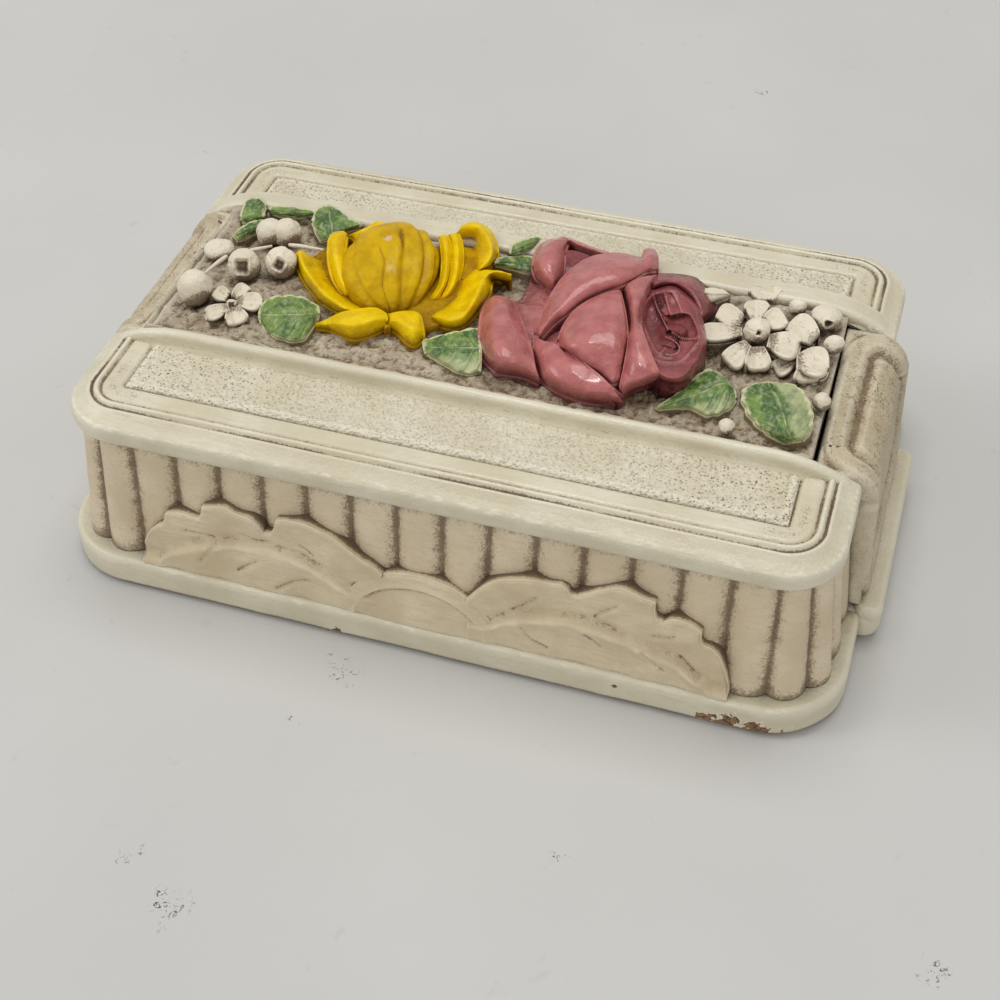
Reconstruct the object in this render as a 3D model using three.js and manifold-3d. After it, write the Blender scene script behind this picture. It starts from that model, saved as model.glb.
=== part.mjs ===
// Carved trinket box: fluted walls on a moulded base, a hinged lid with two framed fields,
// a strip of painted flowers between two rails, and a strap at each end that stands up
// through a notch in the lid. Millimetres, +Z up, length along X, front towards -Y.
// The origin is the middle of the underside.
import * as THREE from 'three';
import { mergeVertices } from 'three/addons/utils/BufferGeometryUtils.js';
import Module from 'manifold-3d';

const wasm = await Module();
wasm.setup();

// Gaps
const seatGap = 0.3;
const overrun = 1;
const weldTolerance = 0.0005;

// Base board, its end feet and the felt under it
const baseLength = 182;
const baseDepth = 120;
const baseCorner = 17.5;
const baseThickness = 7.2;
const baseBelly = 1.5;
const feltThickness = 0.8;
const feltInset = 2;
const footReach = 4.3;
const footHalfWidth = 27.5;
const footCorner = 4;
const footStep = 2;
const footStepDepth = 6.4;

// Walls
const wallInset = 3;
const wallHeight = 31;
const wallLean = 3.7;
const wallCorner = 15;
const flutePitch = 10.24;
const fluteDepth = 1.8;
const fluteShift = -1.6;
const fluteFacets = 6;
const endWallThickness = 5.3;
const longWallThickness = 5.8;
const cavityCorner = 8;
const endWallFacing = 0.99;

// Carved leaves and arch on the long walls
const reliefProud = 1.2;
const reliefDepth = 3.6;
const leafLength = 58;
const leafHeight = 23.4;
const leafStart = 9;
const archHalfWidth = 17;
const archHeight = 13.4;
const archExtraProud = 0.7;
const archFacets = 20;

// Lid
const rimOverhang = 1.5;
const rimCorner = 13;
const rimRadius = 3.4;
const grooveWidth = 1.2;
const grooveDepth = 1.2;
const beadWidth = 2.2;
const beadRise = 0.4;
const stripWidth = 2.4;
const fieldRise = 0.5;
const cornerFacets = 7;
const noseFacets = 6;
const railInner = 24.6;
const railWidth = 2.9;
const railRise = 3.3;
const railRound = 0.9;
const railEndRadius = 20;
const railEndInset = 0.6;
const railEndFacets = 8;
const lidBoardThickness = 3.7;

// Floral strip
const groundThickness = 3;
const leftNotchDepth = 8.9;
const rightNotchDepth = 11.3;
const flowerRise = 11.5;
const leafThickness = 2.2;

// End straps
const strapHalfWidth = 26;
const strapNeckHalfWidth = 24.2;
const strapThickness = 5.4;
const shoulderRadius = 8.5;
const shoulderFacets = 8;
const strapLean = 2;
const strapPanelDepth = 1.2;
const strapPanelBorder = 6;
const strapPanelFoot = 8;
const wedgeGap = 1;

// Hinges
const hingeShare = 0.77;
const leafSpan = 18;
const leafPlate = 0.9;
const leafDepth = 5.8;
const knuckleRadius = 1.5;
const pinRadius = 0.6;
const knuckleCount = 3;
const screwHeadRadius = 1.5;
const screwRadius = 0.8;
const screwLength = 4.6;
const screwShare = 0.28;
const roundFacets = 16;

// Heights and half sizes that follow from the sizes above
const baseBottom = feltThickness;
const baseTop = baseBottom + baseThickness;
const wallTop = baseTop + wallHeight;
const lidBottom = wallTop + seatGap;
const rimTop = lidBottom + 2 * rimRadius;
const fieldTop = rimTop + fieldRise;
const railTop = fieldTop + railRise;
const lidBoardTop = lidBottom + lidBoardThickness;
const groundTop = lidBoardTop + groundThickness;
const baseHalfLength = baseLength / 2;
const baseHalfDepth = baseDepth / 2;
const wallHalfLength = baseHalfLength - wallInset;
const wallHalfDepth = baseHalfDepth - wallInset;
const wallTopHalfLength = wallHalfLength - wallLean;
const wallTopHalfDepth = wallHalfDepth - wallLean;
const lidHalfLength = wallTopHalfLength + rimOverhang;
const lidHalfDepth = wallTopHalfDepth + rimOverhang;
const groundHalfDepth = railInner - seatGap;
const groundLeftReach = lidHalfLength - leftNotchDepth;
const groundRightReach = lidHalfLength - rightNotchDepth;
const cavityHalfLength = wallTopHalfLength - endWallThickness;
const cavityHalfDepth = wallTopHalfDepth - longWallThickness;
const hingeX = hingeShare * (wallHalfLength - wallCorner);
const hingeAxisY = lidHalfDepth + seatGap + knuckleRadius;
const hingeAxisZ = wallTop + seatGap / 2;

// Paint and metal
const cream = { color: 0xe3dcc6, roughness: 0.55, metalness: 0 };
const tan = { color: 0xcbb997, roughness: 0.6, metalness: 0 };
const ground = { color: 0xa89a82, roughness: 0.8, metalness: 0 };
const yellow = { color: 0xe0bb12, roughness: 0.35, metalness: 0 };
const pink = { color: 0xb5626b, roughness: 0.35, metalness: 0 };
const white = { color: 0xdfd7c2, roughness: 0.5, metalness: 0 };
const green = { color: 0x4f8f48, roughness: 0.45, metalness: 0 };
const felt = { color: 0x3d3329, roughness: 0.95, metalness: 0 };
const brass = { color: 0xb08d4a, roughness: 0.35, metalness: 1 };

const box = new THREE.Group();

function addPiece(name, solid, finish) {
  const piece = new THREE.Mesh(geometryOf(solid), new THREE.MeshStandardMaterial(finish));
  piece.name = name;
  box.add(piece);
  return piece;
}

// Closed geometry to solid and back
function solidOf(geometry) {
  const bare = geometry.clone();
  bare.deleteAttribute('normal');
  bare.deleteAttribute('uv');
  const welded = mergeVertices(bare, weldTolerance);
  const vertProperties = new Float32Array(welded.attributes.position.array);
  const triVerts = new Uint32Array(welded.index.array);
  return new wasm.Manifold(new wasm.Mesh({ numProp: 3, vertProperties, triVerts }));
}

function geometryOf(solid) {
  const mesh = solid.getMesh();
  const geometry = new THREE.BufferGeometry();
  geometry.setAttribute('position', new THREE.BufferAttribute(new Float32Array(mesh.vertProperties), 3));
  geometry.setIndex(new THREE.BufferAttribute(new Uint32Array(mesh.triVerts), 1));
  geometry.computeVertexNormals();
  return geometry;
}

function joined(solids) {
  return solids.reduce((whole, next) => whole.add(next));
}

// A block between two corners
function block(x0, x1, y0, y1, z0, z1) {
  const geometry = new THREE.BoxGeometry(x1 - x0, y1 - y0, z1 - z0);
  geometry.translate((x0 + x1) / 2, (y0 + y1) / 2, (z0 + z1) / 2);
  return solidOf(geometry);
}

// A flat outline raised from z0 to z1
function prism(points, z0, z1) {
  const depth = z1 - z0;
  const geometry = new THREE.ExtrudeGeometry(new THREE.Shape(points), { depth, bevelEnabled: false });
  geometry.translate(0, 0, z0);
  return solidOf(geometry);
}

// An outline drawn in X and Z, running from y0 to y1
function sidewaysPrism(points, y0, y1) {
  const depth = y1 - y0;
  const geometry = new THREE.ExtrudeGeometry(new THREE.Shape(points), { depth, bevelEnabled: false });
  geometry.rotateX(Math.PI / 2);
  geometry.translate(0, y1, 0);
  return solidOf(geometry);
}

// Stacked rings of equally many points, closed with a flat cap at each end
function loft(rings) {
  const count = rings[0].length;
  const positions = rings.flat().flatMap((p) => [p.x, p.y, p.z]);
  const index = [];
  for (let level = 0; level + 1 < rings.length; level += 1) {
    for (let i = 0; i < count; i += 1) {
      const next = (i + 1) % count;
      const a = level * count + i;
      const b = level * count + next;
      index.push(a, b, b + count, a, b + count, a + count);
    }
  }
  const top = (rings.length - 1) * count;
  const cap = (ring) => THREE.ShapeUtils.triangulateShape(ring.map((p) => new THREE.Vector2(p.x, p.y)), []);
  for (const [a, b, c] of cap(rings[0])) index.push(a, c, b);
  for (const [a, b, c] of cap(rings[rings.length - 1])) index.push(top + a, top + b, top + c);
  const geometry = new THREE.BufferGeometry();
  geometry.setAttribute('position', new THREE.Float32BufferAttribute(positions, 3));
  geometry.setIndex(index);
  return solidOf(geometry);
}

// The outline of a rounded rectangle, anticlockwise
function roundedOutline(halfLength, halfDepth, radius, facets = cornerFacets) {
  const points = [];
  for (let corner = 0; corner < 4; corner += 1) {
    const signX = corner === 0 || corner === 3 ? 1 : -1;
    const signY = corner < 2 ? 1 : -1;
    for (let i = 0; i <= facets; i += 1) {
      const angle = (corner + i / facets) * Math.PI / 2;
      const x = signX * (halfLength - radius) + radius * Math.cos(angle);
      const y = signY * (halfDepth - radius) + radius * Math.sin(angle);
      points.push(new THREE.Vector2(x, y));
    }
  }
  return points;
}

// Rings of a rounded rectangle, one for each [inset, height] of a profile
function roundedStack(halfLength, halfDepth, radius, profile) {
  return loft(profile.map(([inset, z]) => {
    const outline = roundedOutline(halfLength - inset, halfDepth - inset, radius - inset);
    return outline.map((p) => new THREE.Vector3(p.x, p.y, z));
  }));
}

// Base board with a rounded edge, and a raised foot under each end strap
function baseEdge() {
  return [
    [baseBelly / 2, baseBottom],
    [0, baseBottom + baseThickness / 4],
    [0, baseBottom + baseThickness * 2 / 3],
    [baseBelly / 3, baseTop - baseBelly / 2],
    [baseBelly, baseTop],
  ];
}

function endFoot(side) {
  const footEnd = baseHalfLength + footReach;
  const halfLength = footEnd / 2;
  const lower = roundedStack(halfLength, footHalfWidth, footCorner, baseEdge());
  const stepHalf = footStepDepth / 2;
  const stepTop = baseTop + footStep;
  const step = roundedStack(stepHalf, footHalfWidth, footStepDepth / 3, [
    [0, baseTop - baseBelly],
    [0, stepTop - baseBelly / 2],
    [baseBelly / 2, stepTop],
  ]);
  const lowerAtEnd = lower.translate([side * halfLength, 0, 0]);
  const stepAtEnd = step.translate([side * (footEnd - stepHalf), 0, 0]);
  return lowerAtEnd.add(stepAtEnd);
}

function baseBoard() {
  const board = roundedStack(baseHalfLength, baseHalfDepth, baseCorner, baseEdge());
  return joined([board, endFoot(-1), endFoot(1)]);
}

function baseFelt() {
  const halfLength = baseHalfLength - feltInset;
  const halfDepth = baseHalfDepth - feltInset;
  return prism(roundedOutline(halfLength, halfDepth, baseCorner - feltInset), 0, feltThickness);
}

function floorFelt() {
  const halfLength = cavityHalfLength - seatGap;
  const halfDepth = cavityHalfDepth - seatGap;
  const outline = roundedOutline(halfLength, halfDepth, cavityCorner - seatGap);
  return prism(outline, baseTop, baseTop + feltThickness);
}

// A point on the outline of the wall's crests and its outward direction, by the distance
// along the outline from the middle of the front
function wallPoint(distance) {
  const straightX = wallHalfLength - wallCorner;
  const straightY = wallHalfDepth - wallCorner;
  const arc = wallCorner * Math.PI / 2;
  const lengths = [straightX, arc, 2 * straightY, arc, 2 * straightX, arc, 2 * straightY, arc, straightX];
  let left = distance;
  let leg = 0;
  while (leg < lengths.length - 1 && left > lengths[leg]) {
    left -= lengths[leg];
    leg += 1;
  }
  const cornerAt = [[1, -1], [1, 1], [-1, 1], [-1, -1]];
  if (leg % 2 === 1) {
    const quarter = (leg - 1) / 2;
    const angle = (quarter - 1) * Math.PI / 2 + left / wallCorner;
    const [signX, signY] = cornerAt[quarter];
    const normal = new THREE.Vector2(Math.cos(angle), Math.sin(angle));
    const centre = new THREE.Vector2(signX * straightX, signY * straightY);
    return { point: centre.addScaledVector(normal, wallCorner), normal };
  }
  const starts = [[0, -wallHalfDepth], [wallHalfLength, -straightY], [straightX, wallHalfDepth],
    [-wallHalfLength, straightY], [-straightX, -wallHalfDepth]];
  const headings = [[1, 0], [0, 1], [-1, 0], [0, -1], [1, 0]];
  const run = leg / 2;
  const heading = new THREE.Vector2(...headings[run]);
  const point = new THREE.Vector2(...starts[run]).addScaledVector(heading, left);
  return { point, normal: new THREE.Vector2(heading.y, -heading.x) };
}

function wallPerimeter() {
  return 4 * (wallHalfLength + wallHalfDepth - 2 * wallCorner) + 2 * Math.PI * wallCorner;
}

// How far a convex reed falls back from its crest, across its width
function reedFall(share) {
  const half = flutePitch / 2;
  const radius = (half * half + fluteDepth * fluteDepth) / (2 * fluteDepth);
  const across = share * flutePitch;
  return radius - Math.sqrt(radius * radius - across * across);
}

function wallOutline() {
  const perimeter = wallPerimeter();
  const reeds = Math.round(perimeter / flutePitch);
  const pitch = perimeter / reeds;
  const strapReach = strapHalfWidth + seatGap + pitch / fluteFacets;
  const outline = [];
  for (let reed = 0; reed < reeds; reed += 1) {
    for (let facet = 0; facet < fluteFacets; facet += 1) {
      const share = facet / fluteFacets - 0.5;
      const distance = (reed + share) * pitch + fluteShift;
      const { point, normal } = wallPoint((distance + perimeter) % perimeter);
      const onEndWall = Math.abs(normal.x) > endWallFacing;
      const behindStrap = onEndWall && Math.abs(point.y) < strapReach;
      const fall = behindStrap ? fluteDepth : reedFall(share);
      outline.push({ point: point.addScaledVector(normal, -fall), normal });
    }
  }
  return outline;
}

function wallRing(outline, z) {
  const lean = wallLean * (z - baseTop) / wallHeight;
  return outline.map(({ point, normal }) => new THREE.Vector3(
    point.x - normal.x * lean,
    point.y - normal.y * lean,
    z,
  ));
}

// The serrated edge of each carved leaf, from its root at the arch over the top to its tip,
// as shares of the leaf's length and height
const rightLeafShares = [
  [0.00, 0.00], [0.00, 0.43], [0.06, 0.60], [0.14, 0.74], [0.25, 0.88],
  [0.35, 0.91], [0.40, 0.82], [0.42, 0.76],
  [0.51, 0.96], [0.58, 1.00], [0.71, 0.91], [0.71, 0.81], [0.73, 0.72],
  [0.79, 0.77], [0.84, 0.75], [0.90, 0.59],
  [0.94, 0.50], [0.99, 0.26], [1.00, 0.00],
];
const leftLeafShares = [
  [0.00, 0.00], [0.00, 0.43], [0.16, 0.73], [0.23, 0.84], [0.31, 0.90], [0.41, 0.86], [0.44, 0.66],
  [0.47, 0.68], [0.52, 0.78], [0.60, 0.87], [0.68, 0.88], [0.73, 0.84], [0.74, 0.68],
  [0.80, 0.72], [0.86, 0.69], [0.90, 0.61],
  [0.93, 0.49], [0.98, 0.37], [1.00, 0.17], [1.01, 0.00],
];

function leafOutline(shares, side) {
  return shares.map(([along, up]) => {
    const x = side * (leafStart + along * leafLength);
    return new THREE.Vector2(x, up * leafHeight);
  });
}

function archOutline() {
  const points = [];
  for (let i = 0; i <= archFacets; i += 1) {
    const angle = Math.PI * i / archFacets;
    points.push(new THREE.Vector2(archHalfWidth * Math.cos(angle), archHeight * Math.sin(angle)));
  }
  return points;
}

// A carving drawn in X and height, laid on the leaning front wall
function relief(points, proud) {
  const depth = reliefDepth + proud;
  const ordered = THREE.ShapeUtils.area(points) < 0 ? [...points].reverse() : points;
  const geometry = new THREE.ExtrudeGeometry(new THREE.Shape(ordered), { depth, bevelEnabled: false });
  geometry.rotateX(Math.PI / 2);
  geometry.translate(0, reliefDepth, 0);
  geometry.rotateX(-Math.atan2(wallLean, wallHeight));
  geometry.translate(0, -wallHalfDepth, baseTop);
  return solidOf(geometry);
}

function frontCarving() {
  return joined([
    relief(leafOutline(rightLeafShares, 1), reliefProud),
    relief(leafOutline(leftLeafShares, -1), reliefProud),
    relief(archOutline(), reliefProud + archExtraProud),
  ]);
}

function wallShell() {
  const outline = wallOutline();
  const outer = loft([wallRing(outline, baseTop), wallRing(outline, wallTop)]);
  const carving = frontCarving();
  const behind = carving.rotate([0, 0, 180]);
  const below = block(-baseLength, baseLength, -baseDepth, baseDepth, -baseThickness, baseTop);
  const cavityOutline = roundedOutline(cavityHalfLength, cavityHalfDepth, cavityCorner);
  const cavity = prism(cavityOutline, baseTop - overrun, wallTop + overrun);
  return joined([outer, carving, behind]).subtract(below).subtract(cavity).subtract(bodyHingeSeats());
}

// End strap: it climbs the end wall, rounds the shoulder and lies in the lid's notch
function strapWallX(z) {
  return wallHalfLength - fluteDepth - wallLean * (z - baseTop) / wallHeight + seatGap;
}

function strapProfile(inset, reach) {
  const foot = baseTop + footStep;
  const outerFoot = strapWallX(foot) + strapThickness - inset;
  const outerShoulder = outerFoot - strapLean;
  const top = rimTop + beadRise - inset;
  const centreX = outerShoulder - shoulderRadius + inset;
  const radius = shoulderRadius - inset;
  const points = [new THREE.Vector2(strapWallX(foot), foot), new THREE.Vector2(outerFoot, foot)];
  for (let i = 0; i <= shoulderFacets; i += 1) {
    const angle = i / shoulderFacets * Math.PI / 2;
    const x = centreX + radius * Math.cos(angle);
    const z = top - radius + radius * Math.sin(angle);
    points.push(new THREE.Vector2(x, z));
  }
  points.push(new THREE.Vector2(reach, top));
  points.push(new THREE.Vector2(reach, lidBottom));
  points.push(new THREE.Vector2(strapWallX(wallTop), lidBottom));
  return points;
}

function strapPanelCutter(reach) {
  const far = baseLength;
  const panelHalfWidth = strapHalfWidth - strapPanelBorder;
  const foot = baseTop + footStep + strapPanelFoot;
  const region = block(reach + strapPanelBorder, far, -panelHalfWidth, panelHalfWidth, foot, railTop);
  const kept = sidewaysPrism(strapProfile(strapPanelDepth, reach), -strapHalfWidth, strapHalfWidth);
  return region.subtract(kept);
}

function endStrap(reach) {
  const wide = sidewaysPrism(strapProfile(0, reach), -strapHalfWidth, strapHalfWidth);
  const low = block(0, baseLength, -baseDepth, baseDepth, 0, wallTop - seatGap);
  const neck = sidewaysPrism(strapProfile(0, reach), -strapNeckHalfWidth, strapNeckHalfWidth);
  return wide.intersect(low).add(neck).subtract(strapPanelCutter(reach));
}

function rightStrap() {
  const reach = groundRightReach + seatGap;
  const wedge = prism([
    new THREE.Vector2(reach - overrun, strapHalfWidth),
    new THREE.Vector2(reach - overrun, -strapHalfWidth),
    new THREE.Vector2(reach + wedgeGap, -strapHalfWidth),
    new THREE.Vector2(reach, strapHalfWidth),
  ], lidBottom - overrun, railTop);
  return endStrap(reach).subtract(wedge);
}

function leftStrap() {
  return endStrap(groundLeftReach + seatGap).rotate([0, 0, 180]);
}

// Lid: rounded rim, groove, bead, groove, strip, groove and the raised field, going inwards
function lidProfile() {
  const profile = [];
  for (let i = 0; i <= noseFacets; i += 1) {
    const angle = (i / noseFacets - 0.5) * Math.PI;
    const z = lidBottom + rimRadius + rimRadius * Math.sin(angle);
    profile.push([rimRadius - rimRadius * Math.cos(angle), z]);
  }
  const groove = (start) => profile.push(
    [start, rimTop],
    [start + grooveWidth / 2, rimTop - grooveDepth],
    [start + grooveWidth, rimTop],
  );
  const firstGroove = rimRadius + grooveWidth;
  groove(firstGroove);
  const beadStart = firstGroove + grooveWidth;
  profile.push([beadStart + beadWidth / 2, rimTop + beadRise]);
  const secondGroove = beadStart + beadWidth;
  groove(secondGroove);
  const stripEnd = secondGroove + grooveWidth + stripWidth;
  profile.push([stripEnd, rimTop], [stripEnd + grooveWidth / 3, rimTop - grooveDepth / 2]);
  profile.push([stripEnd + grooveWidth, fieldTop]);
  return profile;
}

// The long rail's outline in X and Z: flat on top, turning down at both ends
function railOutline() {
  const points = [new THREE.Vector2(railEndInset - lidHalfLength, lidBottom + rimRadius / 2)];
  const straightEnd = lidHalfLength - railEndRadius;
  const turn = Math.asin(1 - railEndInset / railEndRadius);
  for (let i = railEndFacets; i >= 0; i -= 1) {
    const angle = turn * i / railEndFacets;
    points.push(new THREE.Vector2(
      -straightEnd - railEndRadius * Math.sin(angle),
      railTop - railEndRadius * (1 - Math.cos(angle)) / 2,
    ));
  }
  const right = points.map((p) => new THREE.Vector2(-p.x, p.y)).reverse();
  return [...points, ...right];
}

function rail() {
  const geometry = new THREE.ExtrudeGeometry(new THREE.Shape(railOutline().reverse()), {
    depth: railWidth - 2 * railRound,
    bevelThickness: railRound,
    bevelSize: railRound,
    bevelOffset: -railRound,
    bevelSegments: 2,
  });
  geometry.rotateX(Math.PI / 2);
  geometry.translate(0, railInner + railWidth - railRound, 0);
  return solidOf(geometry);
}

function lidShell() {
  const board = roundedStack(lidHalfLength, lidHalfDepth, rimCorner, lidProfile());
  const backRail = rail();
  const frontRail = backRail.rotate([0, 0, 180]);
  const trough = block(-baseLength, baseLength, -railInner, railInner, lidBoardTop, railTop + overrun);
  const rightNotch = block(groundRightReach, baseLength, -railInner, railInner, baseTop, railTop + overrun);
  const leftNotch = block(-baseLength, -groundLeftReach, -railInner, railInner, baseTop, railTop + overrun);
  return joined([board, backRail, frontRail])
    .subtract(trough).subtract(rightNotch).subtract(leftNotch).subtract(lidHingeSeats());
}

function floralGround() {
  return block(-groundLeftReach, groundRightReach, -groundHalfDepth, groundHalfDepth, lidBoardTop, groundTop);
}

// Flowers, buds and leaves. Places are shares of the strip's half length and half depth, sizes
// are shares of its half depth, and rises are shares of the tallest flower's. A longer or
// shorter strip stretches them along its length.
const stripHalfLength = (groundLeftReach + groundRightReach) / 2;
const stripMiddle = (groundRightReach - groundLeftReach) / 2;
const stripLengthShare = 3.115;
const stretch = stripHalfLength / (stripLengthShare * groundHalfDepth);
const petalSides = 14;
const petalLevels = 8;
const fineSides = 22;
const fineLevels = 12;

function stripPlace([alongShare, acrossShare]) {
  return [stripMiddle + alongShare * stripHalfLength, acrossShare * groundHalfDepth];
}

// An egg-shaped lobe. Its place and size are shares of the flower's radius and height.
function lobe(flower, petal, grow) {
  const [x, y, z] = petal.at;
  const [length, width, height] = petal.size;
  const radius = flower.radiusShare * groundHalfDepth;
  const rise = flower.riseShare * flowerRise;
  const fine = petal.fine === true;
  const sides = fine ? fineSides : petalSides;
  const levels = fine ? fineLevels : petalLevels;
  const geometry = new THREE.SphereGeometry(1, sides, levels);
  geometry.rotateX(Math.PI / 2);
  geometry.scale(length * radius + grow, width * radius + grow, height * rise + grow);
  geometry.rotateZ(THREE.MathUtils.degToRad(petal.turn ?? 0));
  geometry.scale(stretch, 1, 1);
  const [middleX, middleY] = stripPlace(flower.placeShare);
  geometry.translate(
    middleX + x * radius * stretch,
    middleY + y * radius,
    groundTop + z * rise,
  );
  return solidOf(geometry);
}

function bloom(flower, grow = 0) {
  return joined(flower.petals.map((petal) => lobe(flower, petal, grow)));
}

// Petals set round a middle button
function ringPetals(count, firstTurn) {
  const petals = [{ at: [0, 0, 0.3], size: [0.34, 0.34, 0.5] }];
  for (let i = 0; i < count; i += 1) {
    const turn = firstTurn + 360 * i / count;
    const angle = THREE.MathUtils.degToRad(turn);
    const at = [0.58 * Math.cos(angle), 0.58 * Math.sin(angle), 0.15];
    petals.push({ at, size: [0.42, 0.27, 0.45], turn });
  }
  return petals;
}

const roundBud = [{ at: [0, 0, 0.35], size: [1, 1, 0.65] }];

// Each flower's lobes: the bud or bulb, its bed, then the petals round it
const yellowFlower = {
  placeShare: [-0.367, 0.12],
  radiusShare: 0.864,
  riseShare: 1,
  petals: [
    { at: [-0.08, 0.45, 0.42], size: [0.54, 0.58, 0.56], fine: true },
    { at: [0, 0.08, 0.02], size: [0.84, 0.76, 0.3], fine: true },
    { at: [-0.6, -0.24, 0.08], size: [0.66, 0.2, 0.44], turn: -33 },
    { at: [-0.14, -0.7, 0.08], size: [0.42, 0.2, 0.38], turn: 15 },
    { at: [0.47, -0.58, 0.06], size: [0.26, 0.2, 0.36], turn: -41 },
    { at: [0.98, 0.1, 0.1], size: [0.56, 0.2, 0.44], turn: 68 },
    { at: [0.8, 0.82, 0.1], size: [0.42, 0.18, 0.6], turn: -56 },
    { at: [-0.6, 0.2, 0.2], size: [0.46, 0.14, 0.58], turn: -62 },
    { at: [0.6, 0.44, 0.2], size: [0.46, 0.18, 0.58], turn: 101 },
    { at: [-0.42, 0.66, 0.2], size: [0.26, 0.12, 0.58], turn: 40 },
  ],
};

const pinkRose = {
  placeShare: [0.295, 0.12],
  radiusShare: 0.905,
  riseShare: 1,
  petals: [
    { at: [0.05, 0, 0.02], size: [0.95, 0.86, 0.36], fine: true },
    { at: [-0.8, -0.52, 0.05], size: [0.68, 0.24, 0.66], turn: -62 },
    { at: [-0.68, 0.72, 0.08], size: [0.44, 0.2, 0.72], turn: -79 },
    { at: [-0.06, 0.4, 0.16], size: [0.88, 0.34, 0.82], turn: 60, fine: true },
    { at: [0.12, -0.42, 0.18], size: [0.62, 0.38, 0.84], turn: -81, fine: true },
    { at: [0.5, -0.3, 0.16], size: [0.8, 0.22, 0.8], turn: -76 },
    { at: [0.8, -0.1, 0.05], size: [0.34, 0.44, 0.58], fine: true },
    { at: [1.0, 0.12, 0.1], size: [0.64, 0.16, 0.72], turn: -72 },
    { at: [0.04, -0.84, 0.04], size: [0.62, 0.26, 0.54], turn: -27 },
    { at: [0.36, 0.84, 0.3], size: [0.13, 0.13, 0.5] },
  ],
};

const whiteFlowers = [
  {
    name: 'white_blossom',
    placeShare: [0.755, 0.33],
    radiusShare: 0.473,
    riseShare: 0.65,
    petals: ringPetals(6, 20),
  },
  {
    name: 'side_blossom',
    placeShare: [0.9, -0.08],
    radiusShare: 0.313,
    riseShare: 0.48,
    petals: ringPetals(5, 40),
  },
  {
    name: 'little_blossom',
    placeShare: [-0.772, -0.58],
    radiusShare: 0.296,
    riseShare: 0.43,
    petals: ringPetals(5, 10),
  },
  {
    name: 'smooth_bud',
    placeShare: [-0.915, -0.42],
    radiusShare: 0.230,
    riseShare: 0.65,
    petals: roundBud,
  },
  {
    name: 'hollow_bud_left',
    placeShare: [-0.835, 0.06],
    radiusShare: 0.202,
    riseShare: 0.61,
    petals: roundBud,
  },
  {
    name: 'hollow_bud_right',
    placeShare: [-0.705, 0.12],
    radiusShare: 0.193,
    riseShare: 0.61,
    petals: roundBud,
  },
  {
    name: 'twin_bud',
    placeShare: [-0.79, 0.62],
    radiusShare: 0.222,
    riseShare: 0.65,
    petals: roundBud,
  },
  {
    name: 'corner_bud',
    placeShare: [0.925, 0.72],
    radiusShare: 0.206,
    riseShare: 0.57,
    petals: roundBud,
  },
  {
    name: 'edge_bud',
    placeShare: [0.95, 0.3],
    radiusShare: 0.140,
    riseShare: 0.48,
    petals: roundBud,
  },
  {
    name: 'small_bud',
    placeShare: [0.775, -0.87],
    radiusShare: 0.095,
    riseShare: 0.35,
    petals: roundBud,
  },
];

const leaves = [
  { name: 'leaf_far_left', placeShare: [-0.935, 0.74], lengthShare: 0.535, widthShare: 0.288, turn: 40 },
  { name: 'leaf_narrow', placeShare: [-0.76, 0.91], lengthShare: 0.412, widthShare: 0.132, turn: 2 },
  { name: 'leaf_back_left', placeShare: [-0.64, 0.77], lengthShare: 0.494, widthShare: 0.309, turn: -30 },
  { name: 'leaf_round', placeShare: [-0.6, -0.58], lengthShare: 0.617, widthShare: 0.453, turn: 12 },
  { name: 'leaf_front_middle', placeShare: [-0.11, -0.72], lengthShare: 0.700, widthShare: 0.412, turn: 4 },
  { name: 'leaf_back_middle', placeShare: [-0.02, 0.8], lengthShare: 0.453, widthShare: 0.206, turn: 28 },
  { name: 'leaf_front_right', placeShare: [0.665, -0.6], lengthShare: 0.617, widthShare: 0.370, turn: 25 },
  { name: 'leaf_corner_right', placeShare: [0.87, -0.6], lengthShare: 0.700, widthShare: 0.494, turn: -38 },
  { name: 'leaf_white', placeShare: [0.6, 0.86], lengthShare: 0.329, widthShare: 0.206, turn: -10 },
];

// A pointed leaf, thick enough to stand clear of the ground
function carvedLeaf(leaf, grow = 0) {
  const half = leaf.lengthShare * groundHalfDepth / 2 + grow;
  const side = leaf.widthShare * groundHalfDepth + 2 * grow;
  const shape = new THREE.Shape();
  shape.moveTo(-half, 0);
  shape.quadraticCurveTo(0, -side, half, 0);
  shape.quadraticCurveTo(0, side, -half, 0);
  const depth = leafThickness + 2 * grow;
  const geometry = new THREE.ExtrudeGeometry(shape, { depth, bevelEnabled: false, curveSegments: 7 });
  geometry.rotateZ(THREE.MathUtils.degToRad(leaf.turn));
  geometry.scale(stretch, 1, 1);
  const [x, y] = stripPlace(leaf.placeShare);
  geometry.translate(x, y, groundTop - grow);
  return solidOf(geometry);
}

// The space above the ground that a flower may fill: between the rails low down, and clear
// of the notches at the ends
function carvingSpace() {
  const top = groundTop + 2 * flowerRise;
  return block(-groundLeftReach, groundRightReach, -groundHalfDepth, groundHalfDepth, groundTop, top);
}

function addCarvings() {
  const space = carvingSpace();
  let taken = null;
  const place = (name, solid, grown, finish) => {
    const clear = solid.intersect(space);
    addPiece(name, taken === null ? clear : clear.subtract(taken), finish);
    taken = taken === null ? grown : taken.add(grown);
  };
  place('yellow_flower', bloom(yellowFlower), bloom(yellowFlower, seatGap), yellow);
  place('pink_rose', bloom(pinkRose), bloom(pinkRose, seatGap), pink);
  for (const flower of whiteFlowers) {
    place(flower.name, bloom(flower), bloom(flower, seatGap), white);
  }
  for (const leaf of leaves) {
    const finish = leaf.name === 'leaf_white' ? white : green;
    place(leaf.name, carvedLeaf(leaf), carvedLeaf(leaf, seatGap), finish);
  }
}

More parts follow.
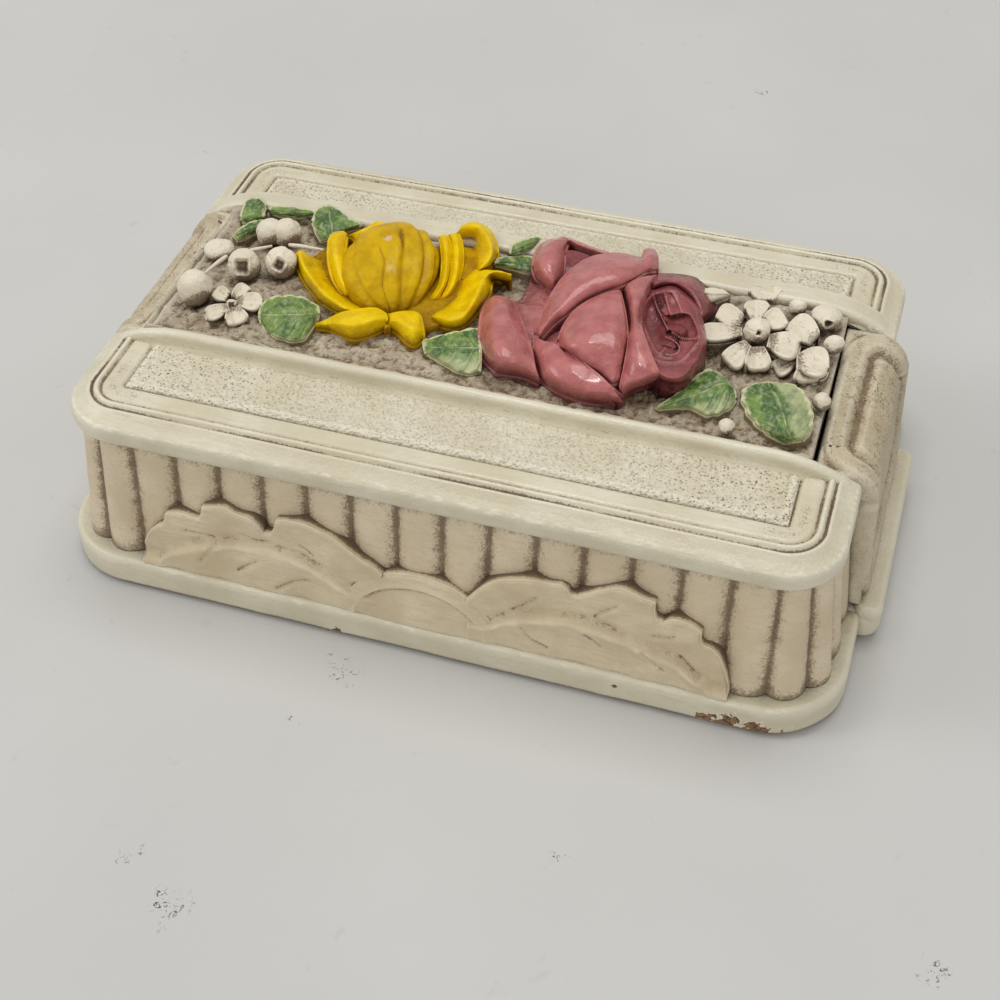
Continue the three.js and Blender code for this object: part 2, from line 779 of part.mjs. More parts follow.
// Hinges: leaves let into the wall and the lid, knuckles outside the back, screws and a pin
function alongX(radius, length, x) {
  const geometry = new THREE.CylinderGeometry(radius, radius, length, roundFacets);
  geometry.rotateZ(Math.PI / 2);
  geometry.translate(x, hingeAxisY, hingeAxisZ);
  return solidOf(geometry);
}

const hinges = [
  { side: 'left', x: -hingeX },
  { side: 'right', x: hingeX },
];
const leafInnerY = lidHalfDepth - leafDepth;
const screwY = leafInnerY + screwHeadRadius + seatGap * 2;
const screwOffset = leafSpan * screwShare;

function leafSeat(x, z0, z1) {
  const half = leafSpan / 2 + seatGap;
  return block(x - half, x + half, leafInnerY - seatGap, baseDepth, z0, z1);
}

function screwHole(x, z0, z1) {
  const radius = screwRadius + seatGap;
  const geometry = new THREE.CylinderGeometry(radius, radius, z1 - z0, roundFacets);
  geometry.rotateX(Math.PI / 2);
  geometry.translate(x, screwY, (z0 + z1) / 2);
  return solidOf(geometry);
}

function screwXs(x) {
  return [x - screwOffset, x + screwOffset];
}

function bodyHingeSeats() {
  const floor = wallTop - leafPlate;
  const end = wallTop - screwLength - seatGap;
  return joined(hinges.flatMap(({ x }) => [
    leafSeat(x, floor, wallTop + overrun),
    ...screwXs(x).map((screwX) => screwHole(screwX, end, wallTop)),
  ]));
}

function lidHingeSeats() {
  const ceiling = lidBottom + leafPlate;
  const end = lidBottom + screwLength + seatGap;
  return joined(hinges.flatMap(({ x }) => [
    leafSeat(x, lidBottom - overrun, ceiling),
    ...screwXs(x).map((screwX) => screwHole(screwX, lidBottom, end)),
  ]));
}

// A countersunk screw with its flat head at the origin and its shank running down
function screwSolid() {
  const slope = screwHeadRadius - screwRadius;
  const profile = [
    [0, 0], [screwHeadRadius, 0], [screwHeadRadius, -seatGap / 2], [screwRadius, -slope - seatGap / 2],
    [screwRadius, screwRadius - screwLength], [0, -screwLength],
  ];
  const points = profile.map(([radius, z]) => new THREE.Vector2(radius, z)).reverse();
  const geometry = new THREE.LatheGeometry(points, roundFacets);
  geometry.rotateX(Math.PI / 2);
  return solidOf(geometry);
}

// The countersink leaves the seat gap all round the screw's head and shank
function screwSink() {
  const grown = screwHeadRadius + seatGap;
  const shank = screwRadius + seatGap;
  const slope = grown - shank;
  const profile = [
    [0, overrun], [grown, overrun], [grown, -seatGap / 2], [shank, -slope - seatGap / 2],
    [shank, -screwLength], [0, -screwLength],
  ];
  const points = profile.map(([radius, z]) => new THREE.Vector2(radius, z)).reverse();
  const geometry = new THREE.LatheGeometry(points, roundFacets);
  geometry.rotateX(Math.PI / 2);
  return solidOf(geometry);
}

function hingeLeaf(x, z0, z1, knuckles, headUp) {
  const half = leafSpan / 2;
  const knuckleLength = leafSpan / knuckleCount - seatGap;
  const plate = block(x - half, x + half, leafInnerY, lidHalfDepth, z0, z1);
  const pieces = [plate];
  for (const knuckle of knuckles) {
    const middle = x + (knuckle - (knuckleCount - 1) / 2) * leafSpan / knuckleCount;
    const near = lidHalfDepth - seatGap;
    const halfKnuckle = knuckleLength / 2;
    pieces.push(block(middle - halfKnuckle, middle + halfKnuckle, near, hingeAxisY - pinRadius, z0, z1));
    pieces.push(alongX(knuckleRadius, knuckleLength, middle));
  }
  const bore = alongX(pinRadius + seatGap, leafSpan + 2 * overrun, x);
  const sink = headUp ? screwSink() : screwSink().rotate([180, 0, 0]);
  const headZ = headUp ? z1 : z0;
  const sinks = screwXs(x).map((screwX) => sink.translate([screwX, screwY, headZ]));
  return joined(pieces).subtract(bore).subtract(joined(sinks));
}

function addHinges() {
  for (const { side, x } of hinges) {
    const bodyLeaf = hingeLeaf(x, wallTop - leafPlate, wallTop, [0, 2], true);
    const lidLeaf = hingeLeaf(x, lidBottom, lidBottom + leafPlate, [1], false);
    addPiece(`${side}_hinge_body_leaf`, bodyLeaf, brass);
    addPiece(`${side}_hinge_lid_leaf`, lidLeaf, brass);
    addPiece(`${side}_hinge_pin`, alongX(pinRadius, leafSpan, x), brass);
    screwXs(x).forEach((screwX, i) => {
      const bodyScrew = screwSolid().translate([screwX, screwY, wallTop]);
      const lidScrew = screwSolid().rotate([180, 0, 0]).translate([screwX, screwY, lidBottom]);
      addPiece(`${side}_hinge_body_screw_${i + 1}`, bodyScrew, brass);
      addPiece(`${side}_hinge_lid_screw_${i + 1}`, lidScrew, brass);
    });
  }
}

addPiece('base_felt', baseFelt(), felt);
addPiece('base_board', baseBoard(), cream);
addPiece('wall_shell', wallShell(), tan);
addPiece('floor_felt', floorFelt(), felt);
addPiece('left_end_strap', leftStrap(), tan);
addPiece('right_end_strap', rightStrap(), tan);
addPiece('lid_shell', lidShell(), cream);
addPiece('floral_ground', floralGround(), ground);
addCarvings();
addHinges();

export default box;
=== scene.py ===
import math

import bmesh
import bpy
import numpy as np
from mathutils import Matrix, Vector, noise


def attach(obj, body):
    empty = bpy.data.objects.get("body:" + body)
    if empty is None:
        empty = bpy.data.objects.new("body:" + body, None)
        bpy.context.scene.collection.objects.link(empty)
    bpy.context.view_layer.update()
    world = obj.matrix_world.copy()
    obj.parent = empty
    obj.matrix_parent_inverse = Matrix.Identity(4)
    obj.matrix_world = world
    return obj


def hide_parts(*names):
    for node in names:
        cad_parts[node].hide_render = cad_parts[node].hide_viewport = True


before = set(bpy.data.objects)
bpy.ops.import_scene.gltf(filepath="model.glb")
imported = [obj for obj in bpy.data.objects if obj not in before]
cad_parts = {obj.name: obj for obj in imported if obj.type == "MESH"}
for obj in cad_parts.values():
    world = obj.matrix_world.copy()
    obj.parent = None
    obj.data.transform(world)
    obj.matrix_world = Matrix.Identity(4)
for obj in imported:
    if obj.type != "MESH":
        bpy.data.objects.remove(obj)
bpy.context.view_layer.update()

MM = 0.001
TURN = 2 * math.pi

# Base board and its end feet
FELT = 0.8
BASE_HALF_LENGTH = 91.0
BASE_HALF_DEPTH = 60.0
BASE_CORNER = 17.5
BASE_TOP = 8.0
FOOT_REACH = 4.3
FOOT_HALF_WIDTH = 27.5
FOOT_CORNER = 4.0
FOOT_HALF_DEPTH = 12.0
FOOT_STEP = 2.0
FOOT_LIP_HALF_DEPTH = 3.2
FOOT_LIP_CORNER = 2.6

# Walls
WALL_HALF_LENGTH = 88.0
WALL_HALF_DEPTH = 57.0
WALL_CORNER = 15.0
WALL_HEIGHT = 31.0
WALL_TOP = BASE_TOP + WALL_HEIGHT
WALL_LEAN = 3.7
REED_COUNT = 54
REED_DEPTH = 1.8
REED_SHIFT = -1.6
CAVITY_HALF_LENGTH = 79.0
CAVITY_HALF_DEPTH = 47.5
CAVITY_CORNER = 8.0

# Lid
LID_BOTTOM = WALL_TOP + 0.3
RIM_RADIUS = 3.4
RIM_TOP = LID_BOTTOM + 2 * RIM_RADIUS
LID_HALF_LENGTH = 85.8
LID_HALF_DEPTH = 54.8
LID_CORNER = 13.0
FIELD_TOP = RIM_TOP + 0.5
BOARD_TOP = LID_BOTTOM + 3.7
RAIL_INNER = 24.6
RAIL_TOP = FIELD_TOP + 3.3
RAIL_END_RADIUS = 20.0
FIELD_HALF_LENGTH = 73.2
FIELD_HALF_DEPTH = 42.2
FIELD_ROUNDING = 2.6
UNDERSIDE_THICKNESS = 0.8
UNDERSIDE_INSET = 0.3

# Floral strip
GROUND_TOP = BOARD_TOP + 3.0
GROUND_LEFT = -76.9
GROUND_RIGHT = 74.5
GROUND_HALF_DEPTH = 24.3
CARVING_FLOOR = GROUND_TOP - 1.2
CARVING_LOW = GROUND_TOP + 0.7

# End straps
STRAP_HALF_WIDTH = 26.0
STRAP_NECK_HALF_WIDTH = 24.2
STRAP_THICKNESS = 5.4
STRAP_TOP = RIM_TOP + 0.4
STRAP_SHOULDER = 8.5
STRAP_LEAN = 2.0
SEAM = 0.3

# Turns a point half round the upright axis, from the front to the back and from right to left
TURNED = np.array([-1, -1, 1])


def smoothstep(low, high, value):
    """Eases from 0 at low to 1 at high; low may be the greater of the two."""
    share = np.clip((np.asarray(value, float) - low) / (high - low), 0, 1)
    return share * share * (3 - 2 * share)


def bell(value, middle, width):
    """1 at the middle, falling off evenly to both sides."""
    return np.exp(-((np.asarray(value, float) - middle) / width) ** 2)


def rough(points, size, octaves=3, seed=0):
    """Smooth random heights, about -1 to 1, with features of the given size in millimetres."""
    shift = Vector((17.3 * seed, 5.1 * seed, 9.7 * seed))
    flat = np.asarray(points, float).reshape(-1, 3) / size
    heights = [noise.fractal(Vector(p) + shift, 1, 2, octaves) for p in flat]
    return np.array(heights).reshape(np.asarray(points).shape[:-1])


# Meshes
def grid_faces(rows, columns, wrap_rows=False, wrap_columns=False):
    """Four-sided faces between the points of a grid."""
    row = np.arange(rows if wrap_rows else rows - 1)[:, None]
    column = np.arange(columns if wrap_columns else columns - 1)[None, :]
    next_row = (row + 1) % rows
    next_column = (column + 1) % columns
    corners = [
        row * columns + column,
        row * columns + next_column,
        next_row * columns + next_column,
        next_row * columns + column,
    ]
    return np.stack([np.broadcast_to(c, (row.size, column.size)) for c in corners], -1).reshape(-1, 4)


def neighbour_mean(values, edges, count):
    """The mean of each point's neighbours along the edges."""
    total = np.zeros_like(values)
    for axis in range(values.shape[1]):
        total[:, axis] += np.bincount(edges[:, 0], values[edges[:, 1], axis], count)
        total[:, axis] += np.bincount(edges[:, 1], values[edges[:, 0], axis], count)
    shares = np.bincount(edges.ravel(), minlength=count)[:, None]
    return total / np.maximum(shares, 1)


def write_mask(mesh, name, values):
    """Writes a number for each point, which a paint can read by name."""
    attribute = mesh.attributes.new(name, "FLOAT", "POINT")
    attribute.data.foreach_set("value", np.asarray(values, np.float32).ravel())


def mark_hollows(mesh, rounds):
    """Writes how deep each point lies below its smoothed surroundings, in millimetres."""
    count = len(mesh.vertices)
    places = np.zeros(count * 3)
    mesh.vertices.foreach_get("co", places)
    normals = np.zeros(count * 3)
    mesh.vertices.foreach_get("normal", normals)
    ends = np.zeros(len(mesh.edges) * 2, int)
    mesh.edges.foreach_get("vertices", ends)
    places = places.reshape(-1, 3) / MM
    edges = ends.reshape(-1, 2)
    smoothed = places
    for _ in range(rounds):
        smoothed = neighbour_mean(smoothed, edges, count)
    write_mask(mesh, "hollow", ((smoothed - places) * normals.reshape(-1, 3)).sum(1))


def face_outwards(mesh):
    """Turns a closed mesh's faces over if they look inwards."""
    shape = bmesh.new()
    shape.from_mesh(mesh)
    inside_out = shape.calc_volume(signed=True) < 0
    shape.free()
    if inside_out:
        mesh.flip_normals()


def add_object(name, data):
    """A new object in the scene."""
    made = bpy.data.objects.new(name, data)
    bpy.context.scene.collection.objects.link(made)
    return made


def add_piece(name, points, faces, paint, body, replaced, rounds=12, masks=None):
    """A visible piece; rounds says over how wide a surrounding its hollows are measured."""
    mesh = bpy.data.meshes.new(name)
    mesh.from_pydata((np.asarray(points).reshape(-1, 3) * MM).tolist(), [], faces)
    face_outwards(mesh)
    mesh.update()
    mesh.shade_smooth()
    mark_hollows(mesh, rounds)
    for mask_name, values in (masks or {}).items():
        write_mask(mesh, mask_name, values)
    mesh.materials.append(paint)
    piece = add_object(name, mesh)
    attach(piece, body)
    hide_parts(*replaced)
    return piece


def ring_solid(rings):
    """Closed rings, stacked or one after another along a path, capped at both ends."""
    rings = np.asarray(rings)
    rows, columns = rings.shape[:2]
    faces = grid_faces(rows, columns, wrap_columns=True).tolist()
    faces.append(list(range(columns - 1, -1, -1)))
    faces.append(list(range((rows - 1) * columns, rows * columns)))
    return rings.reshape(-1, 3), faces


def border_of(rows, columns):
    """The indices of a grid's outermost points, once round."""
    index = np.arange(rows * columns).reshape(rows, columns)
    return np.concatenate([index[0, :-1], index[:-1, -1], index[-1, :0:-1], index[:0:-1, 0]])


def flat_grid(x, y, z=0.0):
    """Points at every pair of the given X and Y, all at one height."""
    x, y = np.meshgrid(x, y, indexing="ij")
    return np.stack([x, y, np.full_like(x, z)], -1)


def slab(top, bottom):
    """A closed slab between two grids of the same size."""
    rows, columns = top.shape[:2]
    count = rows * columns
    upper = grid_faces(rows, columns)
    lower = grid_faces(rows, columns)[:, ::-1] + count
    border = border_of(rows, columns)
    after = np.roll(border, -1)
    sides = np.stack([after, border, border + count, after + count], -1)
    faces = np.concatenate([upper, lower, sides])
    points = np.concatenate([top.reshape(-1, 3), bottom.reshape(-1, 3)])
    middle_normal = np.cross(top[1, 0] - top[0, 0], top[0, 1] - top[0, 0])
    if middle_normal @ (top[0, 0] - bottom[0, 0]) < 0:
        faces = faces[:, ::-1]
    return points, faces.tolist()


def end_name(side):
    return "right" if side > 0 else "left"


def long_side_name(back):
    return "back" if back else "front"


# Rounded rectangles
# The signs of X and Y at the corners, in the outline's order
CORNER_SIGNS = [(1, -1), (1, 1), (-1, 1), (-1, -1)]


def leg_lengths(half_length, half_depth, radius):
    """The straight and curved legs of the outline, from the middle of its front."""
    straight_x = half_length - radius
    straight_y = half_depth - radius
    arc = radius * TURN / 4
    return [straight_x, arc, 2 * straight_y, arc, 2 * straight_x, arc, 2 * straight_y, arc, straight_x]


def even_stations(half_length, half_depth, radius, count):
    """Evenly spaced stations: a leg of the outline and a share along it.

    Outlines of different sizes that share their stations can be joined point to point.
    """
    lengths = leg_lengths(half_length, half_depth, radius)
    total = sum(lengths)
    stations = []
    for i in range(count):
        left = i * total / count
        leg = 0
        while left > lengths[leg] and leg + 1 < len(lengths):
            left -= lengths[leg]
            leg += 1
        stations.append((leg, left / lengths[leg]))
    return stations


def outline_at(half_length, half_depth, radius, stations):
    """Points and outward normals, in X and Y, going anticlockwise from the middle of the front."""
    straight_x = half_length - radius
    straight_y = half_depth - radius
    starts = {
        0: ((0, -half_depth), (straight_x, 0)),
        2: ((half_length, -straight_y), (0, 2 * straight_y)),
        4: ((straight_x, half_depth), (-2 * straight_x, 0)),
        6: ((-half_length, straight_y), (0, -2 * straight_y)),
        8: ((-straight_x, -half_depth), (straight_x, 0)),
    }
    normals_at = {0: (0, -1), 2: (1, 0), 4: (0, 1), 6: (-1, 0), 8: (0, -1)}
    points, normals = [], []
    for leg, share in stations:
        if leg % 2:
            quarter = (leg - 1) // 2
            angle = (quarter - 1 + share) * TURN / 4
            sign_x, sign_y = CORNER_SIGNS[quarter]
            normal = (math.cos(angle), math.sin(angle))
            middle = (sign_x * straight_x, sign_y * straight_y)
            points.append((middle[0] + radius * normal[0], middle[1] + radius * normal[1]))
        else:
            (x, y), (dx, dy) = starts[leg]
            normal = normals_at[leg]
            points.append((x + dx * share, y + dy * share))
        normals.append(normal)
    return np.array(points, float), np.array(normals, float)


def at_height(plan, z):
    """Points in X and Y, put at one height or each at its own."""
    return np.column_stack([plan, np.broadcast_to(z, len(plan))])


# Materials
def colour(red, green, blue):
    """A colour as it is seen on screen, 0 to 255, turned into Blender's linear values."""
    def linear(value):
        share = value / 255
        return share / 12.92 if share <= 0.04045 else ((share + 0.055) / 1.055) ** 2.4
    return (linear(red), linear(green), linear(blue), 1)


class Paint:
    """A painted surface being put together from shader nodes. Scales are in millimetres."""

    def __init__(self, name, roughness=0.5, coat=0.0):
        self.material = bpy.data.materials.new(name)
        self.material.use_nodes = True
        self.tree = self.material.node_tree
        self.shader = self.tree.nodes["Principled BSDF"]
        self.shader.inputs["Roughness"].default_value = roughness
        self.shader.inputs["Coat Weight"].default_value = coat
        self.shader.inputs["Coat Roughness"].default_value = 0.12
        place = self.node("ShaderNodeTexCoord").outputs["Object"]
        mapping = self.node("ShaderNodeVectorMath", operation="SCALE")
        mapping.inputs["Scale"].default_value = 1 / MM
        self.link(place, mapping.inputs[0])
        self.where = mapping.outputs[0]

    def node(self, kind, **settings):
        made = self.tree.nodes.new(kind)
        for key, value in settings.items():
            setattr(made, key, value)
        return made

    def link(self, source, target):
        self.tree.links.new(source, target)

    def feed(self, target, value):
        if isinstance(value, bpy.types.NodeSocket):
            self.link(value, target)
        else:
            target.default_value = value

    def noise(self, size, detail=3, distortion=0.0, stretch=None):
        """Cloudy noise, 0 to 1; a stretch below 1 draws it out along that axis."""
        where = self.where
        if stretch is not None:
            scaled = self.node("ShaderNodeVectorMath", operation="MULTIPLY")
            self.link(where, scaled.inputs[0])
            scaled.inputs[1].default_value = stretch
            where = scaled.outputs[0]
        made = self.node("ShaderNodeTexNoise")
        made.inputs["Scale"].default_value = 1 / size
        made.inputs["Detail"].default_value = detail
        made.inputs["Distortion"].default_value = distortion
        self.link(where, made.inputs["Vector"])
        return made.outputs["Fac"]

    def cells(self, size, feature="F1", distortion=0.0):
        """Distances in a cell pattern; the distortion, in millimetres, bends the cells' edges."""
        where = self.where
        if distortion > 0:
            bend = self.node("ShaderNodeTexNoise")
            bend.inputs["Scale"].default_value = 1 / (size / 2)
            self.link(where, bend.inputs["Vector"])
            scaled = self.node("ShaderNodeVectorMath", operation="SCALE")
            scaled.inputs["Scale"].default_value = distortion * 2
            self.link(bend.outputs["Color"], scaled.inputs[0])
            moved = self.node("ShaderNodeVectorMath", operation="ADD")
            self.link(where, moved.inputs[0])
            self.link(scaled.outputs[0], moved.inputs[1])
            where = moved.outputs[0]
        made = self.node("ShaderNodeTexVoronoi", feature=feature)
        made.inputs["Scale"].default_value = 1 / size
        self.link(where, made.inputs["Vector"])
        return made.outputs["Distance"]

    def mask(self, name):
        """The numbers that add_piece wrote under this name, 0 where there are none."""
        return self.node("ShaderNodeAttribute", attribute_name=name).outputs["Fac"]

    def shelter(self, distance):
        """1 in narrow gaps and under edges, 0 in the open."""
        made = self.node("ShaderNodeAmbientOcclusion", samples=8)
        made.inputs["Distance"].default_value = distance * MM
        return self.maths("SUBTRACT", 1.0, made.outputs["AO"])

    def maths(self, operation, a, b):
        made = self.node("ShaderNodeMath", operation=operation)
        self.feed(made.inputs[0], a)
        self.feed(made.inputs[1], b)
        return made.outputs[0]

    def times(self, a, b):
        return self.maths("MULTIPLY", a, b)

    def plus(self, a, b):
        return self.maths("ADD", a, b)

    def ramp(self, value, low, high, to_low=0.0, to_high=1.0):
        """A value eased from to_low at low to to_high at high."""
        made = self.node("ShaderNodeMapRange", interpolation_type="SMOOTHSTEP")
        self.feed(made.inputs["Value"], value)
        made.inputs["From Min"].default_value = low
        made.inputs["From Max"].default_value = high
        made.inputs["To Min"].default_value = to_low
        made.inputs["To Max"].default_value = to_high
        return made.outputs["Result"]

    def mix(self, share, a, b):
        made = self.node("ShaderNodeMix", data_type="RGBA")
        self.feed(made.inputs["Factor"], share)
        self.feed(made.inputs[6], a)
        self.feed(made.inputs[7], b)
        return made.outputs[2]

    def cover(self, base, colour_over, share, strength):
        """One colour laid over another by a share times a strength."""
        return self.mix(self.times(share, strength), base, colour_over)

    def bump(self, height, distance, before=None):
        """A normal tilted by a height, which rises by the distance in millimetres from 0 to 1."""
        made = self.node("ShaderNodeBump")
        made.inputs["Distance"].default_value = distance * MM
        self.link(height, made.inputs["Height"])
        if before is not None:
            self.link(before, made.inputs["Normal"])
        return made.outputs["Normal"]

    def finish(self, base, roughness=None, normal=None):
        self.link(base, self.shader.inputs["Base Color"])
        if roughness is not None:
            self.link(roughness, self.shader.inputs["Roughness"])
        if normal is not None:
            self.link(normal, self.shader.inputs["Normal"])
        return self.material


# Brown and darker brown for the wash that settled in hollows, and also for painted shade: a contact shadow,
# shade in gaps and under edges, and shadows on the walls' reeds.
BROWN_WASH_AND_SHADE = colour(112, 88, 62)
DARK_WASH_AND_SHADE = colour(78, 58, 40)


def add_chips(paint, base):
    """Bare brown patches with a pale broken edge, where the chip mask is high."""
    torn = paint.plus(paint.mask("chip"), paint.ramp(paint.noise(1.5, 5, 0.6), 0.25, 0.75, -0.4, 0.4))
    base = paint.mix(paint.ramp(torn, 0.44, 0.48), base, colour(236, 224, 198))
    bare = paint.mix(paint.ramp(paint.noise(1.0, 4), 0.4, 0.6), colour(84, 60, 36), colour(150, 112, 66))
    return paint.mix(paint.ramp(torn, 0.6, 0.64), base, bare)


def add_crackle(paint, base):
    """Thin dark cracks where the crackle mask is high."""
    lines = paint.ramp(paint.cells(4.2, "DISTANCE_TO_EDGE", distortion=1.6), 0.035, 0.0)
    broken = paint.ramp(paint.noise(2.2, 3), 0.42, 0.55)
    share = paint.times(paint.times(lines, broken), paint.mask("crackle"))
    return paint.mix(share, base, colour(70, 50, 34))


def antique_paint(name, light, dark, wash_low=0.0, wash_high=0.26, stipple=0.0, gloss=0.5, dirt_and_shade=0.7,
                  aged=False, worn=0.6, flecks=0.0, coat=0.0):
    """Old paint with a brown wash that settled in the hollows.

    The wash starts in hollows wash_low millimetres deep and is full in those of wash_high. Stipple,
    dirt_and_shade (dirt and painted shade in gaps), worn and flecks are shares from 0 to 1.
    """
    paint = Paint(name, roughness=gloss, coat=coat)
    patches = paint.ramp(paint.noise(14, 4), 0.3, 0.7)
    base = paint.mix(patches, light, dark)
    felted = paint.noise(0.55, 5, 0.3)
    base = paint.mix(paint.ramp(felted, 0.42, 0.75, 0.0, 0.3), base, dark)
    base = paint.mix(paint.ramp(felted, 0.45, 0.2, 0.0, 0.35), base, light)
    grime = paint.noise(2.4, 5, 0.4)
    grit = paint.noise(0.5, 6, 0.2)
    streaks = paint.noise(0.8, 5, 0.4, (0.14, 1.0, 1.0))
    base = paint.mix(paint.ramp(streaks, 0.46, 0.66, 0.0, 0.5), base, dark)
    # The groove mask carries the wash and also painted shade: the base's contact shadow, one side of each
    # front reed, and the reeds' tops under the rim.
    hollow = paint.maths("MAXIMUM", paint.mask("hollow"), paint.mask("groove"))
    gritty = paint.ramp(grit, 0.25, 0.75, -0.12, 0.12)
    uneven = paint.plus(paint.ramp(grime, 0.2, 0.8, -0.08, 0.08), gritty)
    soiled = paint.plus(hollow, uneven)
    settled_wash_and_shade = paint.ramp(soiled, wash_low, wash_high)
    base = paint.cover(base, BROWN_WASH_AND_SHADE, settled_wash_and_shade, 0.8)
    deepest = paint.ramp(soiled, wash_high * 0.8, wash_high * 2.2)
    base = paint.cover(base, DARK_WASH_AND_SHADE, deepest, 0.7)
    # Dirt and painted shade in narrow gaps and under edges, from ambient occlusion.
    gap_dirt_and_shade = paint.plus(paint.shelter(4.5), paint.ramp(grit, 0.2, 0.8, -0.2, 0.2))
    base = paint.cover(base, DARK_WASH_AND_SHADE, paint.ramp(gap_dirt_and_shade, 0.3, 0.9), dirt_and_shade)
    rubbed = paint.ramp(paint.mask("hollow"), -0.06, -0.3)
    base = paint.cover(base, PALE_EDGE, rubbed, worn)
    broken = paint.ramp(paint.noise(1.2, 6, 0.3, (0.35, 1.0, 1.0)), 0.25, 0.75, -0.5, 0.5)
    glint = paint.plus(paint.mask("glint"), broken)
    base = paint.mix(paint.ramp(glint, 0.4, 0.9, 0.0, 0.5), base, colour(246, 241, 224))
    skirt_grit = paint.ramp(grit, 0.2, 0.8, -0.3, 0.3)
    skirt = paint.ramp(paint.plus(paint.mask("skirt"), skirt_grit), 0.35, 1.0)
    base = paint.cover(base, BROWN_WASH_AND_SHADE, skirt, 0.8)
    normal = paint.bump(paint.noise(0.5, 4), 0.14)
    normal = paint.bump(paint.noise(1.6, 4), 0.22, normal)
    if stipple > 0:
        pits = paint.cells(0.72)
        pit = paint.ramp(pits, 0.42, 0.16)
        patchy = paint.ramp(paint.noise(1.6, 3), 0.36, 0.62, 0.16, 1.0)
        filled = paint.times(paint.times(pit, patchy), paint.mask("pitted"))
        base = paint.cover(base, BROWN_WASH_AND_SHADE, filled, stipple)
        normal = paint.bump(pits, 0.4, normal)
    if flecks > 0:
        dots = paint.ramp(paint.noise(0.9, 6), 0.68, 0.76)
        base = paint.cover(base, BROWN_WASH_AND_SHADE, dots, flecks)
    if aged:
        base = add_chips(paint, base)
        base = add_crackle(paint, base)
    roughness = paint.ramp(paint.noise(5, 3), 0.3, 0.7, gloss - 0.08, gloss + 0.12)
    return paint.finish(base, roughness, normal)


CREAM = colour(224, 217, 193)
CREAM_SHADE = colour(208, 199, 171)
PALE_EDGE = colour(240, 234, 214)
TAN = colour(230, 214, 186)
TAN_SHADE = colour(212, 195, 164)

cream_paint = antique_paint("cream_paint", CREAM, CREAM_SHADE, 0.12, 0.36, gloss=0.36, aged=True, worn=0.4,
                            coat=0.25)
field_paint = antique_paint("stippled_cream", colour(230, 223, 200), colour(216, 207, 180), 0.08, 0.34,
                            stipple=0.95)
tan_paint = antique_paint("tan_paint", TAN, TAN_SHADE, 0.06, 0.36, gloss=0.55, worn=0.08, flecks=0.1)
strap_paint = antique_paint("strap_paint", colour(208, 196, 168), colour(184, 169, 138), -0.02, 0.2,
                            gloss=0.5, dirt_and_shade=0.85, aged=True, worn=0.35, flecks=0.3)
ground_paint = antique_paint("ground_paint", colour(196, 184, 160), colour(160, 145, 122), -0.02, 0.2,
                             dirt_and_shade=0.85, worn=0.25)


def felt_material():
    """Dark brown felt."""
    paint = Paint("brown_felt", roughness=0.95)
    fibres = paint.noise(0.25, 6, 1.5)
    base = paint.mix(paint.ramp(fibres, 0.3, 0.7), colour(58, 46, 36), colour(84, 68, 54))
    return paint.finish(base, None, paint.bump(fibres, 0.2))


def brass_material():
    """Brass with brown tarnish."""
    paint = Paint("old_brass", roughness=0.35)
    paint.shader.inputs["Metallic"].default_value = 1.0
    tarnish = paint.ramp(paint.noise(1.6, 4), 0.35, 0.7)
    base = paint.mix(tarnish, colour(196, 160, 92), colour(140, 108, 60))
    roughness = paint.ramp(tarnish, 0, 1, 0.28, 0.5)
    return paint.finish(base, roughness, paint.bump(paint.noise(0.3, 3), 0.02))


felt_paint = felt_material()
brass_paint = brass_material()


# Base board and feet
# Edges of the base, the feet and their lips: inset and height
BASE_EDGE = [
    (0.35, FELT), (0.1, 1.05), (0.0, 1.6), (0.0, 4.2), (0.08, 6.0), (0.25, 6.9),
    (0.6, 7.6), (1.1, 7.92), (1.8, BASE_TOP), (6.0, BASE_TOP),
]
FOOT_EDGE = [(0.9, FELT), (0.2, 1.6), (0.0, 3.0), (0.0, 6.2), (0.3, 7.4), (1.2, BASE_TOP + 0.3)]
FOOT_LIP_TOP = BASE_TOP + FOOT_STEP
FOOT_LIP_EDGE = [
    (0.6, 5.0), (0.4, 6.6), (0.05, 7.6), (0.0, 8.4), (0.25, 9.2), (0.8, FOOT_LIP_TOP - 0.15),
    (1.5, FOOT_LIP_TOP), (2.4, FOOT_LIP_TOP),
]


def lengths_along(path):
    """How far each point of a flat path lies from its first point, along the path."""
    return np.concatenate([[0], np.cumsum(np.hypot(*np.diff(path, axis=0).T))])


def path_normals(path):
    """Unit normals of a flat path, to the left of its course."""
    tangent = np.gradient(path, axis=0)
    tangent /= np.linalg.norm(tangent, axis=1, keepdims=True)
    return np.column_stack([-tangent[:, 1], tangent[:, 0]])


def smooth_profile(profile, count):
    """Evenly spaced points on a line through the given ones."""
    profile = np.array(profile, float)
    along = lengths_along(profile)
    even = np.linspace(0, along[-1], count)
    return np.column_stack([np.interp(even, along, profile[:, i]) for i in range(profile.shape[1])])


def rounded_stack(half_length, half_depth, radius, profile, stations, middle=(0, 0)):
    """Rings of a rounded rectangle, each with the inset and height that the profile gives."""
    rings = []
    for inset, z in profile:
        plan, _ = outline_at(half_length - inset, half_depth - inset, max(radius - inset, 0.1), stations)
        rings.append(at_height(plan + np.array(middle), z))
    return np.array(rings)


# Chips in the base's front edge and a dimple: place in X, Y, height and radius in millimetres
BASE_CHIPS = [
    (63.5, -60, 1.4, 2.8), (68.5, -60, 1.8, 3.6), (74.5, -59, 1.0, 3.8), (80.5, -56.5, 1.0, 2.6),
    (43.6, -60, 5.0, 0.9), (-20, -60, 0.8, 2.0),
]


def spots(points, places):
    """A mask that is 1 in the middle of each place and fades outwards."""
    mask = np.zeros(len(points))
    for x, y, z, radius in places:
        gap = np.linalg.norm(points - np.array((x, y, z)), axis=1)
        mask = np.maximum(mask, smoothstep(1.5 * radius, 0.2 * radius, gap))
    return mask


